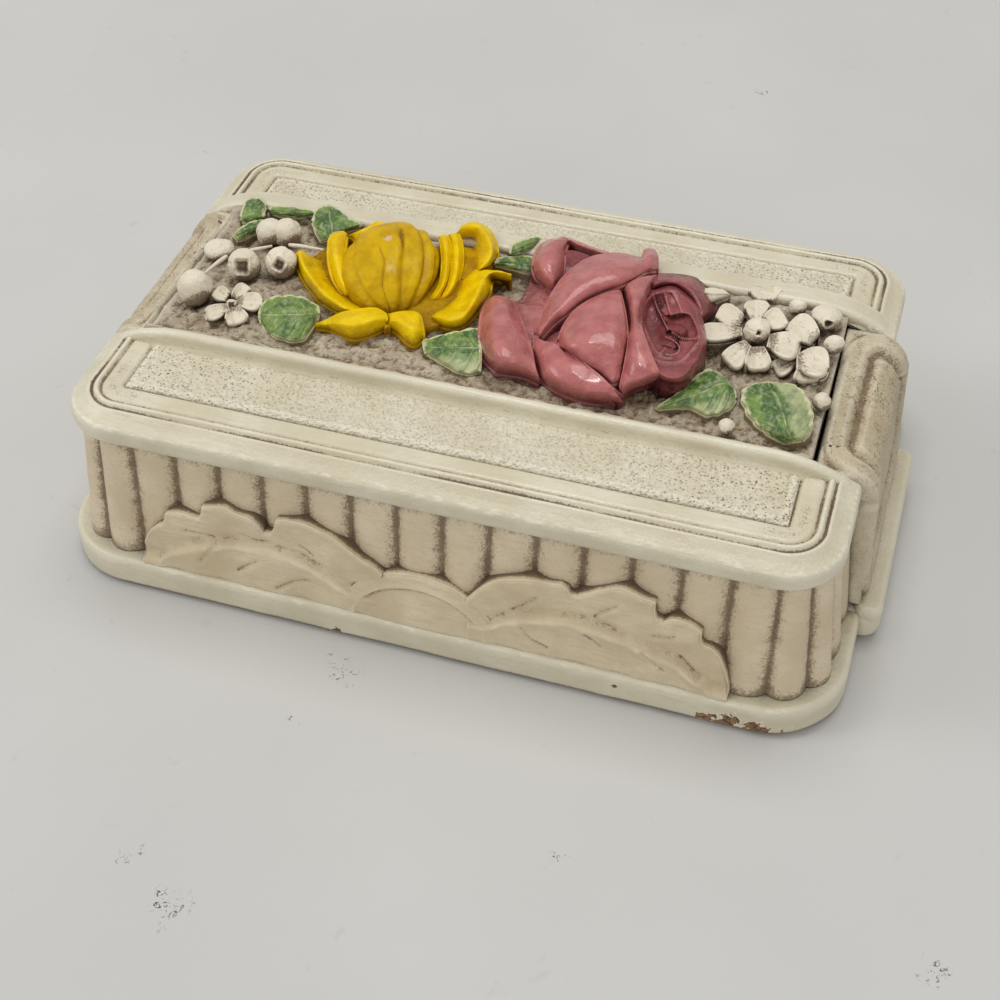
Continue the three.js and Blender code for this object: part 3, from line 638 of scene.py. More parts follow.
def build_base():
    """The base board with its moulded edge, slightly uneven and chipped in front."""
    stations = even_stations(BASE_HALF_LENGTH, BASE_HALF_DEPTH, BASE_CORNER, 640)
    profile = smooth_profile(BASE_EDGE, 36)
    rings = rounded_stack(BASE_HALF_LENGTH, BASE_HALF_DEPTH, BASE_CORNER, profile, stations)
    wobble = rough(rings, 22, 2, 1) * 0.25
    outward = rings.copy()
    outward[..., 2] = 0
    outward /= np.linalg.norm(outward, axis=-1, keepdims=True)
    side = smoothstep(6.5, 3.5, rings[..., 2])
    rings = rings - outward * (np.abs(wobble) * side)[..., None]
    points, faces = ring_solid(rings)
    shoulder = bell(points[:, 2], BASE_TOP - 0.5, 0.45) * (np.abs(points[:, 1]) > WALL_HALF_DEPTH)
    # The groove mask darkens the base's bottom edge as a painted contact shadow.
    masks = {"chip": spots(points, BASE_CHIPS), "glint": 0.45 * shoulder,
             "groove": 0.7 * smoothstep(1.35, 0.95, points[:, 2])}
    add_piece("moulded_base", points, faces, cream_paint, "box_body", ["base_board"],
              masks=masks)


def build_foot(name, side, half_depth, corner, profile, count):
    """One step of an end foot, which reaches out from under the base's end."""
    stations = even_stations(half_depth, FOOT_HALF_WIDTH, corner, count)
    middle = side * (BASE_HALF_LENGTH + FOOT_REACH - half_depth)
    rings = rounded_stack(half_depth, FOOT_HALF_WIDTH, corner, profile, stations, (middle, 0))
    points, faces = ring_solid(rings)
    add_piece(name, points, faces, cream_paint, "box_body", ["base_board"])


def build_feet():
    """Both steps of both end feet."""
    edge = smooth_profile(FOOT_EDGE, 24)
    lip_edge = smooth_profile(FOOT_LIP_EDGE, 22)
    for side in (-1, 1):
        name = f"{end_name(side)}_foot"
        build_foot(name, side, FOOT_HALF_DEPTH, FOOT_CORNER, edge, 220)
        build_foot(f"{name}_lip", side, FOOT_LIP_HALF_DEPTH, FOOT_LIP_CORNER, lip_edge, 200)


# Walls
REED_PITCH = sum(leg_lengths(WALL_HALF_LENGTH, WALL_HALF_DEPTH, WALL_CORNER)) / REED_COUNT
POINTS_PER_REED = 26
WALL_RIM = WALL_TOP - 0.02


def reed_fall(share):
    """How far a reed's face lies behind its crest, from -0.5 to 0.5 across the reed."""
    half = REED_PITCH / 2
    radius = (half * half + REED_DEPTH * REED_DEPTH) / (2 * REED_DEPTH)
    across = np.abs(share) * 2 * half
    return radius - np.sqrt(radius * radius - across * across)


def build_walls():
    """The leaning walls with their reeds, smooth behind the straps, round the open cavity."""
    count = REED_COUNT * POINTS_PER_REED
    stations = even_stations(WALL_HALF_LENGTH, WALL_HALF_DEPTH, WALL_CORNER, count)
    plan, normals = outline_at(WALL_HALF_LENGTH, WALL_HALF_DEPTH, WALL_CORNER, stations)
    share = (np.arange(count) / POINTS_PER_REED + 0.5 - REED_SHIFT / REED_PITCH) % 1 - 0.5
    behind_strap = (np.abs(normals[:, 0]) > 0.99) & (np.abs(plan[:, 1]) < STRAP_HALF_WIDTH + SEAM)
    fall = np.where(behind_strap, REED_DEPTH, reed_fall(share))
    rings = []
    for z in np.linspace(BASE_TOP, WALL_RIM, 56):
        up = (z - BASE_TOP) / WALL_HEIGHT
        inset = fall + WALL_LEAN * up
        ring = at_height(plan - normals * inset[:, None], z)
        wave = rough(ring, 9, 2, 2) * 0.16
        ring[:, :2] += normals * np.where(behind_strap, 0, wave)[:, None]
        rings.append(ring)
    cavity, _ = outline_at(CAVITY_HALF_LENGTH, CAVITY_HALF_DEPTH, CAVITY_CORNER, stations)
    inner = [at_height(cavity * 0.3 + rings[-1][:, :2] * 0.7, WALL_RIM)]
    inner += [at_height(cavity, z) for z in (WALL_RIM, WALL_TOP - 0.6, BASE_TOP)]
    rings = np.array(rings + inner)
    rows, columns = rings.shape[:2]
    faces = grid_faces(rows, columns, True, True).tolist()
    # Painted shadow: one side of each reed on the front wall is darkened.
    reed_shadow = np.where(share * (plan[:, 1] < 0) > 0, 0.07, 0.0)
    off_crest = np.abs(share)
    groove = 0.16 * smoothstep(0.2, 0.5, off_crest) + 0.2 * smoothstep(0.36, 0.5, off_crest) ** 1.5
    groove = groove + reed_shadow * smoothstep(0.1, 0.45, off_crest)
    low_end = 0.3 * smoothstep(BASE_TOP + 4.2, BASE_TOP, rings[..., 2])
    # At the reeds' tops, under the lid's rim: wash and painted shade.
    under_rim_wash_and_shade = 0.16 * smoothstep(WALL_TOP - 2.6, WALL_TOP - 0.2, rings[..., 2])
    outside = np.arange(rows)[:, None] < rows - len(inner)
    masks = {"groove": np.where(outside, groove[None, :] + low_end + under_rim_wash_and_shade, 0)}
    add_piece("reeded_walls", rings, faces, tan_paint, "box_body", ["wall_shell"], masks=masks)


# Lid
# Inset from the lid's edge in millimetres, and height as a share of the rim's: a low lip, then
# a hollow slope up to the bead
RIM_NOSE = [
    (2.6, 0.0), (1.2, 0.02), (0.35, 0.08), (0.03, 0.2), (0.0, 0.38), (0.1, 0.52), (0.4, 0.63), (0.9, 0.7),
    (1.6, 0.745), (2.6, 0.81), (3.6, 0.9), (4.3, 0.97), (4.75, 0.97),
]
# Inset, and height from the rim's top: groove, bead, groove, flat band, and step to the field
RIM_PROFILE_TAIL = [
    (5.15, -0.75), (5.5, -0.3), (5.9, 0.2), (6.3, 0.32), (6.7, 0.12), (7.0, -0.5), (7.2, -0.7), (7.6, -0.3),
    (8.2, -0.05), (11.4, 0.0), (11.9, -0.3), (12.3, -0.8), (12.75, -1.0), (12.8, -2.0),
]
RIM_UNDERSIDE_INSETS = (12.8, 8.0)
# Where the rim holds dirt and where it shines: inset, strength and half width
RIM_GROOVES = [(5.15, 0.5, 0.36), (7.15, 0.36, 0.34), (12.5, 0.36, 0.4)]
RIM_GLINTS = [(0.8, 0.62, 0.55), (6.3, 0.4, 0.35)]
# How far inside the lid's corner the place lies from which its dirt spreads
RIM_DIRT_INSET = 12


def rim_profile():
    """Inset and height of the rim's points, from its underside over the nose to the field."""
    height = RIM_TOP - LID_BOTTOM
    nose = [(inset, LID_BOTTOM + height * share) for inset, share in RIM_NOSE]
    tail = [(inset, RIM_TOP + up) for inset, up in RIM_PROFILE_TAIL]
    underside = [(inset, LID_BOTTOM) for inset in RIM_UNDERSIDE_INSETS]
    return underside + smooth_profile(nose + tail, 96).tolist()


def half_lid_path(inset):
    """The outline of one half of the lid, from its left end at the rail round to its right end."""
    radius = LID_CORNER - inset
    straight_x = LID_HALF_LENGTH - LID_CORNER
    straight_y = LID_HALF_DEPTH - LID_CORNER
    end = LID_HALF_LENGTH - inset
    left = [(-end, y) for y in np.linspace(-RAIL_INNER, -straight_y, 24, endpoint=False)]
    arc = [math.pi + i / 26 * math.pi / 2 for i in range(26)]
    corner = [(-straight_x + radius * math.cos(a), -straight_y + radius * math.sin(a)) for a in arc]
    front = [(x, -straight_y - radius) for x in np.linspace(-straight_x, 0, 90)]
    half = left + corner + front
    return np.array(half + [(-x, y) for x, y in half[-2::-1]])


def build_half_lid(side):
    """The moulded rim, the field and the rail of the lid's front half, or its back half."""
    name = long_side_name(side > 0)
    profile = rim_profile()
    paths = [at_height(half_lid_path(inset), z) for inset, z in profile]
    sections = np.array(paths).transpose(1, 0, 2)
    sections[..., 2] += rough(sections, 30, 2, 3) * 0.12
    insets = np.array([inset for inset, _ in profile])
    groove = sum(strength * bell(insets, inset, width) for inset, strength, width in RIM_GROOVES)
    from_corner = np.hypot(np.abs(sections[..., 0]) - LID_HALF_LENGTH + RIM_DIRT_INSET,
                           np.abs(sections[..., 1]) - LID_HALF_DEPTH + RIM_DIRT_INSET)
    soiled = 0.75 + 0.9 * rough(sections, 16, 2, 4) + 0.5 * smoothstep(16, 6, from_corner)
    hollow = bell(insets, 9.8, 1.4) * smoothstep(14, 4, from_corner) * 0.16
    glint = sum(strength * bell(insets, inset, width) for inset, strength, width in RIM_GLINTS)
    masks = {"groove": groove * soiled + hollow, "glint": np.broadcast_to(glint, sections.shape[:2])}
    if side > 0:
        sections = sections * TURNED
    points, faces = ring_solid(sections)
    add_piece(f"{name}_lid_rim", points, faces, cream_paint, "lid", ["lid_shell"], 16, masks)
    build_field(side, name)
    build_rail(side, name)


def build_field(side, name):
    """The stippled panel inside the rim, with two rounded corners."""
    top = flat_grid(np.linspace(-FIELD_HALF_LENGTH, FIELD_HALF_LENGTH, 440),
                    np.linspace(-FIELD_HALF_DEPTH, -RAIL_INNER - 0.4, 56))
    bottom = top + np.array((0, 0, LID_BOTTOM + UNDERSIDE_THICKNESS / 2))
    pits = rough(top, 0.7, 2, 5) * 0.11 + rough(top, 18, 2, 6) * 0.12
    from_end = FIELD_HALF_LENGTH - np.abs(top[..., 0])
    from_front = top[..., 1] + FIELD_HALF_DEPTH
    in_corner = (from_end < FIELD_ROUNDING) & (from_front < FIELD_ROUNDING)
    rounded = FIELD_ROUNDING - np.hypot(FIELD_ROUNDING - from_end, FIELD_ROUNDING - from_front)
    edge = np.where(in_corner, rounded, np.minimum(from_end, from_front))
    top[..., 2] = FIELD_TOP - 0.25 + pits - 0.7 * smoothstep(0.7, 0.0, edge)
    points, faces = slab(top, bottom)
    if side > 0:
        points = points * TURNED
    pitted = 0.5 + 0.6 * smoothstep(20, 66, np.abs(points[:, 0]))
    add_piece(f"{name}_lid_field", points, faces, field_paint, "lid", ["lid_shell"],
              masks={"pitted": pitted})


def rail_path():
    """Points in X and Z along the rail's top, and the outward normal at each."""
    straight_end = LID_HALF_LENGTH - RAIL_END_RADIUS
    last = math.asin(1 - 0.4 / RAIL_END_RADIUS)
    turns = [last * i / 26 for i in range(27)]
    right = [(straight_end + RAIL_END_RADIUS * math.sin(a),
              RAIL_TOP - RAIL_END_RADIUS / 2 * (1 - math.cos(a)))
             for a in turns]
    left = [(-x, z) for x, z in right[::-1]]
    middle = [(x, RAIL_TOP) for x in np.linspace(-straight_end, straight_end, 120)[1:-1]]
    path = np.array(left + middle + right)
    return path, path_normals(path)


# Sections of the rails, outwards from their inner face and up from their top
RAIL_SECTION = [
    (0.0, -5.5), (0.0, -2.4), (0.05, -1.1), (0.35, -0.45), (0.9, -0.08), (1.5, 0.0),
    (2.1, -0.12), (2.6, -0.5), (2.9, -1.2), (3.0, -2.0), (3.3, -2.9), (4.0, -3.6), (4.0, -5.5),
]
# The back rail is broader, with a flat top
BACK_RAIL_SECTION = [
    (0.0, -5.5), (0.0, -2.4), (0.05, -1.1), (0.35, -0.45), (0.9, -0.08), (1.5, 0.0), (3.4, 0.1), (5.2, 0.0),
    (5.9, -0.15), (6.4, -0.5), (6.7, -1.2), (6.8, -2.0), (7.1, -2.9), (7.8, -3.6), (7.8, -5.5),
]


def build_rail(side, name):
    """The bar between a field and the floral strip, curved down at its ends."""
    path, normals = rail_path()
    section = smooth_profile(BACK_RAIL_SECTION if name == "back" else RAIL_SECTION, 44)
    sections = []
    for (x, z), normal in zip(path, normals):
        ring = [(x + normal[0] * up, RAIL_INNER + out, z + normal[1] * up) for out, up in section]
        sections.append(ring)
    sections = np.array(sections)
    sections[..., 2] = np.maximum(sections[..., 2], LID_BOTTOM + 1)
    sections[..., 0] = np.clip(sections[..., 0], -LID_HALF_LENGTH, LID_HALF_LENGTH)
    sections[..., 2] += rough(sections, 12, 2, 7) * 0.14 * (sections[..., 2] > FIELD_TOP)
    if side < 0:
        sections = sections * TURNED
    points, faces = ring_solid(sections)
    add_piece(f"{name}_lid_rail", points, faces, cream_paint, "lid", ["lid_shell"])


def build_lid_plate(name, x, y, low, high):
    """A flat plate between two heights inside the lid."""
    points, faces = slab(flat_grid(x, y, high), flat_grid(x, y, low))
    add_piece(name, points, faces, cream_paint, "lid", ["lid_shell"])


def build_lid_underside():
    """A plain plate that closes the lid from below, between its rims."""
    half_length = FIELD_HALF_LENGTH - UNDERSIDE_INSET
    half_depth = FIELD_HALF_DEPTH - UNDERSIDE_INSET
    build_lid_plate("lid_underside", np.linspace(-half_length, half_length, 120),
                    np.linspace(-half_depth, half_depth, 80), LID_BOTTOM, LID_BOTTOM + UNDERSIDE_THICKNESS)


def build_lid_board():
    """The plate under the floral strip."""
    build_lid_plate("lid_board", np.linspace(GROUND_LEFT, GROUND_RIGHT, 40),
                    np.linspace(-RAIL_INNER, RAIL_INNER, 16), LID_BOTTOM + UNDERSIDE_THICKNESS / 2, BOARD_TOP)


# End straps
def strap_wall_x(z):
    """Where the strap's inner face lies at a height: just off the reeds' bottoms."""
    return WALL_HALF_LENGTH - REED_DEPTH - WALL_LEAN * (z - BASE_TOP) / WALL_HEIGHT + SEAM


def strap_path(reach):
    """Points in X and Z over the strap, from its inner end on the lid down to the foot."""
    shoulder_x = strap_wall_x(FOOT_LIP_TOP) + STRAP_THICKNESS - STRAP_LEAN
    centre = (shoulder_x - STRAP_SHOULDER, STRAP_TOP - STRAP_SHOULDER)
    points = [(x, STRAP_TOP) for x in np.linspace(reach, centre[0], 14, endpoint=False)]
    for i in range(22):
        angle = math.pi / 2 * (1 - i / 21)
        spoke = (STRAP_SHOULDER * math.cos(angle), STRAP_SHOULDER * math.sin(angle))
        points.append((centre[0] + spoke[0], centre[1] + spoke[1]))
    for share in np.linspace(0, 1, 41)[1:]:
        z = centre[1] + (FOOT_LIP_TOP - centre[1]) * share
        points.append((shoulder_x + STRAP_LEAN * share, z))
    return smooth_profile(points, STRAP_ROWS)


# How far the strap's face falls away at distances from its border
STRAP_FALL = [(0, 1.5), (0.5, 0.7), (1.2, 0.2), (2.2, 0.0), (4.6, 0.05), (5.4, 0.5), (6.0, 1.3), (6.7, 1.75),
              (7.6, 1.8), (8.4, 1.3), (9.2, 0.95), (11, 0.9), (40, 0.6)]
STRAP_ROUNDING = 10
STRAP_ROWS = 110
STRAP_COLUMNS = 150
# Crackled and chipped places: X, Y, height and radius
STRAP_CRACKLE = [(80, -3, 46, 7), (77, -16, 46, 6), (84, 8, 46, 8), (-80, 8, 46, 7)]
STRAP_CHIPS = [(76, -19.5, 46, 0.9), (77.5, -17.5, 46.3, 0.7), (-79, 20, 46, 0.8)]


def build_strap(side):
    """An end strap: from the strip's end over the lid's edge and down the end wall."""
    name = end_name(side)
    reach = (GROUND_RIGHT if side > 0 else -GROUND_LEFT) + SEAM
    path = strap_path(reach)
    normals = path_normals(path)
    normals *= np.sign(normals[0, 1])
    along = lengths_along(path)
    below_neck = path[:, 1] < WALL_TOP - 0.5
    half_widths = STRAP_NECK_HALF_WIDTH + (STRAP_HALF_WIDTH - STRAP_NECK_HALF_WIDTH) * below_neck
    fall_at, fall_by = np.array(STRAP_FALL).T
    top, bottom = [], []
    for i, (x, z) in enumerate(path):
        across = np.linspace(-1, 1, STRAP_COLUMNS) * half_widths[i]
        from_side = half_widths[i] - np.abs(across)
        from_end = np.minimum(along[i], (along[-1] - along[i]) * 0.75 + 2.5)
        near = np.minimum(from_side, from_end)
        in_corner = np.maximum(from_side, from_end) < STRAP_ROUNDING
        rounded = STRAP_ROUNDING - np.hypot(STRAP_ROUNDING - from_side, STRAP_ROUNDING - from_end)
        distance = np.maximum(np.where(in_corner, rounded, near), 0)
        fall = np.interp(distance, fall_at, fall_by) * (1 if side > 0 else 0.5)
        slip = 1.1 * smoothstep(2.5, 0, along[i]) * (0.5 - side * across / half_widths[i] / 2)
        slimming = smoothstep(0, 8, along[i]) * (1 - 0.5 * smoothstep(12, 40, along[i]))
        thinner = 0 if side > 0 else 2.2 * slimming
        top.append([(x + s - thinner - normals[i, 0] * f, y, z - normals[i, 1] * f)
                    for y, f, s in zip(across, fall, slip)])
        inner_z = min(z, LID_BOTTOM)
        inner_x = min(x, strap_wall_x(inner_z))
        bottom.append([(inner_x, y, inner_z) for y in across])
    top, bottom = np.array(top), np.array(bottom)
    wave = rough(top, 7, 3, 8) * 0.14
    top += np.stack([normals[:, 0, None] * wave, np.zeros_like(wave), normals[:, 1, None] * wave], -1)
    if side < 0:
        top, bottom = top * TURNED, bottom * TURNED
    points, faces = slab(top, bottom)
    masks = {"crackle": spots(points, STRAP_CRACKLE), "chip": spots(points, STRAP_CHIPS)}
    add_piece(f"{name}_strap", points, faces, strap_paint, "box_body", [f"{name}_end_strap"],
              10, masks)


# Rough ground of the floral strip
def ground_height(points):
    """Lumps on the strip's ground, with banks along the rails and two swellings under the buds."""
    x, y = points[..., 0], points[..., 1]
    flat = points * (1, 1, 0)
    lumps = rough(flat, 3.4, 3, 11) * 0.75 + rough(flat, 1.0, 2, 12) * 0.25
    banks = 2.4 * smoothstep(20.5, GROUND_HALF_DEPTH, np.abs(y))
    right_swell = 2.2 * bell(x, 56, 11) * smoothstep(-19, -9, y)
    left_swell = 1.5 * bell(x, -57, 12)
    return GROUND_TOP + lumps + np.maximum(banks, np.maximum(right_swell, left_swell))


def build_ground():
    """The rough ground that the flowers sink into."""
    bottom = flat_grid(np.linspace(GROUND_LEFT, GROUND_RIGHT, 420),
                       np.linspace(-GROUND_HALF_DEPTH, GROUND_HALF_DEPTH, 136), BOARD_TOP)
    top = bottom.copy()
    top[..., 2] = ground_height(bottom)
    points, faces = slab(top, bottom)
    add_piece("rough_ground", points, faces, ground_paint, "lid", ["floral_ground"], rounds=8)


# Sight lines of the photograph
# Carved pieces are traced in its pixels, each point with its height on the object
EYE = np.array((88.183, -271.924, 276.358))
YAW = 0.3201
PITCH = 0.7830
ROLL = -0.0171
LENS = 57.98
SENSOR = 36
PICTURE = 1000
FOCAL_PIXELS = LENS / SENSOR * PICTURE
CENTRE_PIXEL = (496.05, 498.58)


def sight_axes():
    """The directions to the right, up and forward, as the photograph's camera has them."""
    forward = np.array((-math.sin(YAW) * math.cos(PITCH), math.cos(YAW) * math.cos(PITCH), -math.sin(PITCH)))
    level = np.array((math.cos(YAW), math.sin(YAW), 0))
    rise = np.cross(level, forward)
    right = level * math.cos(ROLL) + rise * math.sin(ROLL)
    up = rise * math.cos(ROLL) - level * math.sin(ROLL)
    return right, up, forward


def sight_rays(pixels):
    """Directions from the eye through the photograph's pixels."""
    right, up, forward = sight_axes()
    across = (pixels[..., 0] - CENTRE_PIXEL[0])[..., None]
    down = (pixels[..., 1] - CENTRE_PIXEL[1])[..., None]
    return forward * FOCAL_PIXELS + right * across - up * down


def lift(pixels):
    """Points of the object from (pixel x, pixel y, height)."""
    pixels = np.asarray(pixels, float)
    ray = sight_rays(pixels)
    reach = (pixels[..., 2] - EYE[2]) / ray[..., 2]
    return EYE + ray * reach[..., None]


def seen_at(points):
    """The photograph's pixels at which points of the object are seen."""
    right, up, forward = sight_axes()
    away = points - EYE
    scale = FOCAL_PIXELS / (away @ forward)
    return np.stack([CENTRE_PIXEL[0] + away @ right * scale, CENTRE_PIXEL[1] - away @ up * scale], -1)


# Petals of the yellow flower, each a net of (pixel x, pixel y, height)
YELLOW_LEFT_OUTER = [
    [(296, 254, 51.5), (300, 251, 52), (305, 253, 51.5), (310, 256, 50)],
    [(297, 264, 51.5), (302, 262, 52.4), (310, 265, 50), (325, 265, 47.5)],
    [(304, 280, 51), (309, 275, 52.2), (319, 278, 49.8), (332, 280, 47.3)],
    [(312, 291, 50.5), (319, 288, 51.8), (330, 290, 49.5), (343, 295, 47.3)],
    [(319, 300, 50), (330, 299, 51.3), (345, 301, 49.2), (357, 303, 47.5)],
    [(328, 306, 49.5), (343, 308, 50.8), (362, 309, 49.3), (379, 310, 48)],
    [(345, 315, 49), (362, 313, 50.3), (379, 312, 49.2), (392, 313, 48.5)],
]
YELLOW_FRONT_LEFT = [
    [(313, 324, 48.5), (314, 326, 48.5), (313, 328, 48)],
    [(325, 320, 49.3), (327, 325, 49.8), (327, 329, 48.5)],
    [(340, 313, 50), (341, 324, 51), (338, 334, 48.5)],
    [(357, 309, 50.5), (357, 324, 51.5), (353, 339, 48.5)],
    [(375, 308, 50.8), (375, 320, 51.5), (370, 335, 48.8)],
    [(385, 313, 50.8), (386, 319, 51), (385, 328, 49.5)],
]
YELLOW_FRONT_POINT = [
    [(387, 314, 50.5), (388, 320, 50.5), (389, 327, 50)],
    [(398, 312, 50.5), (399, 322, 51), (398, 333, 49.5)],
    [(409, 311, 50), (410, 327, 50.6), (407, 342, 48.5)],
    [(418, 313, 49.5), (418, 329, 50), (415, 345, 48.2)],
    [(421, 320, 49), (423, 331, 49), (423, 339, 48.2)],
]
YELLOW_RIGHT_OUTER = [
    [(431, 318, 49.3), (433, 316, 49.3), (435, 315, 49), (437, 313, 48.5)],
    [(445, 327, 49.3), (447, 319, 50.3), (447, 313, 49.5), (443, 306, 47.5)],
    [(462, 326, 49.5), (463, 316, 51), (460, 308, 50), (451, 297, 47.5)],
    [(478, 311, 50), (474, 301, 51.8), (469, 295, 50.5), (457, 284, 47.5)],
    [(489, 293, 50.5), (482, 284, 52.3), (477, 280, 51), (462, 273, 47.5)],
    [(492, 280, 51), (490, 274, 52.5), (485, 272, 51.5), (471, 267, 48)],
    [(501, 280, 51), (501, 272, 52.2), (496, 270, 51.5), (486, 271, 49)],
    [(512, 283, 50), (511, 275, 51.3), (507, 273, 51), (501, 272, 50)],
]
YELLOW_BACK_CURL = [
    [(456, 234, 52), (458, 233, 53), (460, 236, 52), (462, 241, 50)],
    [(462, 226, 52.5), (465, 225, 54), (469, 231, 53), (468, 241, 49.5)],
    [(474, 222, 52.5), (476, 224, 54.5), (477, 231, 53.5), (473, 243, 49)],
    [(487, 227, 52), (485, 230, 54.5), (481, 236, 53.5), (474, 248, 48.5)],
    [(495, 240, 51.5), (491, 241, 54), (485, 244, 53), (474, 252, 48.5)],
    [(497, 254, 51), (492, 254, 53.3), (485, 254, 52), (474, 258, 48.5)],
    [(491, 266, 50.5), (487, 264, 52.5), (481, 263, 51.5), (474, 264, 48.5)],
    [(479, 273, 50), (478, 271, 51.5), (476, 269, 50.8), (473, 268, 48.8)],
]
YELLOW_LEFT_INNER = [
    [(345, 297, 49), (351, 297, 49.5), (357, 297, 49.5)],
    [(334, 280, 50), (341, 282, 51), (349, 284, 50.5)],
    [(329, 261, 51.5), (336, 263, 53), (346, 267, 52)],
    [(329, 243, 53), (335, 244, 54.5), (345, 252, 53)],
    [(332, 234, 54), (337, 234, 55), (346, 239, 54)],
    [(339, 231, 54), (343, 231, 54.5), (348, 234, 54)],
]
YELLOW_RIGHT_INNER = [
    [(428, 301, 49), (433, 301, 49.5), (439, 300, 49)],
    [(439, 284, 50.5), (444, 284, 51.3), (448, 283, 50)],
    [(442, 263, 52.5), (447, 263, 53.3), (452, 262, 52)],
    [(441, 246, 54), (446, 244, 54.7), (451, 244, 53.5)],
    [(439, 236, 54.5), (444, 234, 55), (448, 236, 54)],
]
YELLOW_RIGHT_MIDDLE = [
    [(439, 301, 48.8), (445, 299, 49.2), (451, 296, 48.8)],
    [(448, 284, 50), (455, 282, 50.8), (459, 279, 49.5)],
    [(452, 263, 52), (458, 262, 52.8), (463, 259, 51.5)],
    [(451, 244, 53.5), (457, 243, 54.2), (462, 243, 53)],
    [(448, 235, 54), (454, 233, 54.6), (459, 234, 53.5)],
]
YELLOW_BACK_LEFT = [
    [(347, 236, 54), (353, 238, 53.5), (356, 243, 52.5)],
    [(357, 232, 54.5), (361, 235, 54), (364, 238, 53.5)],
    [(368, 227, 55), (370, 231, 54.8), (372, 233, 54.5)],
    [(376, 222, 55), (379, 224, 55), (382, 227, 55)],
    [(385, 223, 55), (386, 225, 55), (388, 227, 55.3)],
]

# Petals of the rose
ROSE_LEFT = [
    [(487, 301, 50), (495, 296, 51), (504, 297, 51), (513, 301, 50)],
    [(482, 313, 50.5), (493, 308, 53), (506, 309, 53.5), (519, 315, 51)],
    [(480, 331, 50.5), (493, 327, 54), (509, 329, 54.5), (526, 334, 51.5)],
    [(481, 349, 50), (495, 347, 54), (513, 349, 54), (531, 352, 51.5)],
    [(486, 362, 49), (499, 363, 52.5), (516, 365, 52.5), (534, 368, 51)],
    [(497, 373, 48), (509, 374, 49.5), (525, 377, 50), (541, 384, 49.5)],
]
ROSE_BACK_LEFT = [
    [(545, 287, 51), (549, 290, 51), (554, 291, 51), (557, 291, 51)],
    [(536, 277, 52), (545, 277, 53.5), (555, 279, 53.5), (562, 277, 52)],
    [(533, 265, 52.5), (542, 264, 54.8), (553, 265, 55), (564, 265, 53)],
    [(536, 252, 52.5), (544, 251, 55), (554, 251, 55.5), (565, 252, 54)],
    [(543, 243, 52), (549, 242, 54), (558, 241, 54.8), (567, 245, 54.5)],
    [(551, 239, 51.5), (557, 238, 52.5), (563, 237, 53.5), (570, 240, 54)],
]
ROSE_BACK_RIM = [
    [(568, 238, 52.5), (570, 240, 54), (569, 247, 50.5)],
    [(579, 242, 52.5), (579, 245, 53.8), (575, 254, 50)],
    [(591, 247, 52.8), (591, 249, 54), (584, 256, 51)],
    [(608, 252, 53.5), (606, 254, 54.5), (599, 257, 53)],
]
ROSE_WRAP = [
    [(534, 334, 51), (538, 336, 52), (541, 338, 51.5)],
    [(543, 313, 52.5), (548, 320, 54), (553, 325, 53)],
    [(552, 293, 53.5), (559, 304, 55.5), (566, 315, 54.5)],
    [(566, 274, 54.5), (574, 288, 57), (581, 303, 55.5)],
    [(586, 259, 55), (593, 275, 57.8), (600, 293, 56)],
    [(608, 253, 55), (613, 268, 57.8), (620, 286, 56.5)],
    [(627, 254, 54.5), (631, 265, 57), (634, 279, 56.5)],
    [(641, 257, 54), (643, 263, 56), (646, 272, 55.5)],
    [(646, 249, 54), (651, 256, 56), (652, 271, 55)],
    [(654, 249, 53.5), (657, 256, 54.5), (657, 270, 54)],
]
ROSE_HEART = [
    [(558, 341, 53), (559, 344, 53.5), (560, 347, 53.5), (563, 350, 53)],
    [(563, 327, 54), (568, 338, 55.5), (570, 347, 55.3), (574, 357, 53.5)],
    [(574, 311, 55), (581, 327, 57), (584, 343, 56.7), (586, 365, 53.5)],
    [(591, 299, 55.8), (597, 318, 57.8), (600, 341, 57.2), (600, 374, 53)],
    [(609, 292, 56), (613, 313, 58), (615, 341, 57.2), (611, 383, 52.5)],
    [(619, 290, 56), (623, 313, 57.3), (624, 341, 56.3), (616, 383, 52.3)],
    [(620, 291, 55.5), (625, 313, 56.3), (627, 341, 55.3), (620, 381, 52)],
]
ROSE_RIGHT = [
    [(622, 291, 55.5), (631, 282, 56), (643, 277, 55.5), (659, 275, 54)],
    [(625, 304, 56), (632, 297, 57), (641, 297, 57.2), (650, 293, 56.5)],
    [(628, 324, 56), (632, 320, 57.2), (637, 320, 57.5), (641, 320, 57)],
    [(628, 343, 55.5), (633, 341, 56.8), (640, 341, 57), (646, 341, 56.5)],
    [(625, 363, 54), (632, 363, 55.3), (643, 363, 55.8), (654, 361, 55.5)],
    [(620, 388, 51), (631, 384, 52.5), (645, 381, 53.5), (661, 375, 54)],
    [(622, 399, 49), (632, 391, 50), (647, 386, 51), (666, 379, 52)],
]
ROSE_SKIRT = [
    [(534, 336, 50.5), (543, 341, 52), (554, 343, 53), (563, 351, 53)],
    [(534, 356, 50.5), (545, 359, 52), (563, 361, 53), (581, 363, 53.2)],
    [(540, 377, 49.5), (556, 379, 51), (575, 379, 52), (595, 374, 53)],
    [(549, 387, 48.5), (568, 391, 49.5), (590, 391, 51), (609, 384, 52.3)],
    [(566, 396, 47.5), (586, 400, 48.5), (606, 400, 49.5), (618, 391, 51)],
    [(586, 403, 47), (602, 404, 47.5), (616, 404, 48), (627, 397, 49)],
]
ROSE_SKIRT_EDGE = [
    [(563, 350, 53.5), (565, 354, 53.5)],
    [(577, 358, 53.8), (579, 363, 53.7)],
    [(591, 368, 53.5), (591, 375, 53.3)],
    [(606, 381, 52.5), (600, 388, 52.3)],
    [(618, 396, 50.5), (611, 400, 50.2)],
    [(624, 402, 49), (620, 405, 48.5)],
]

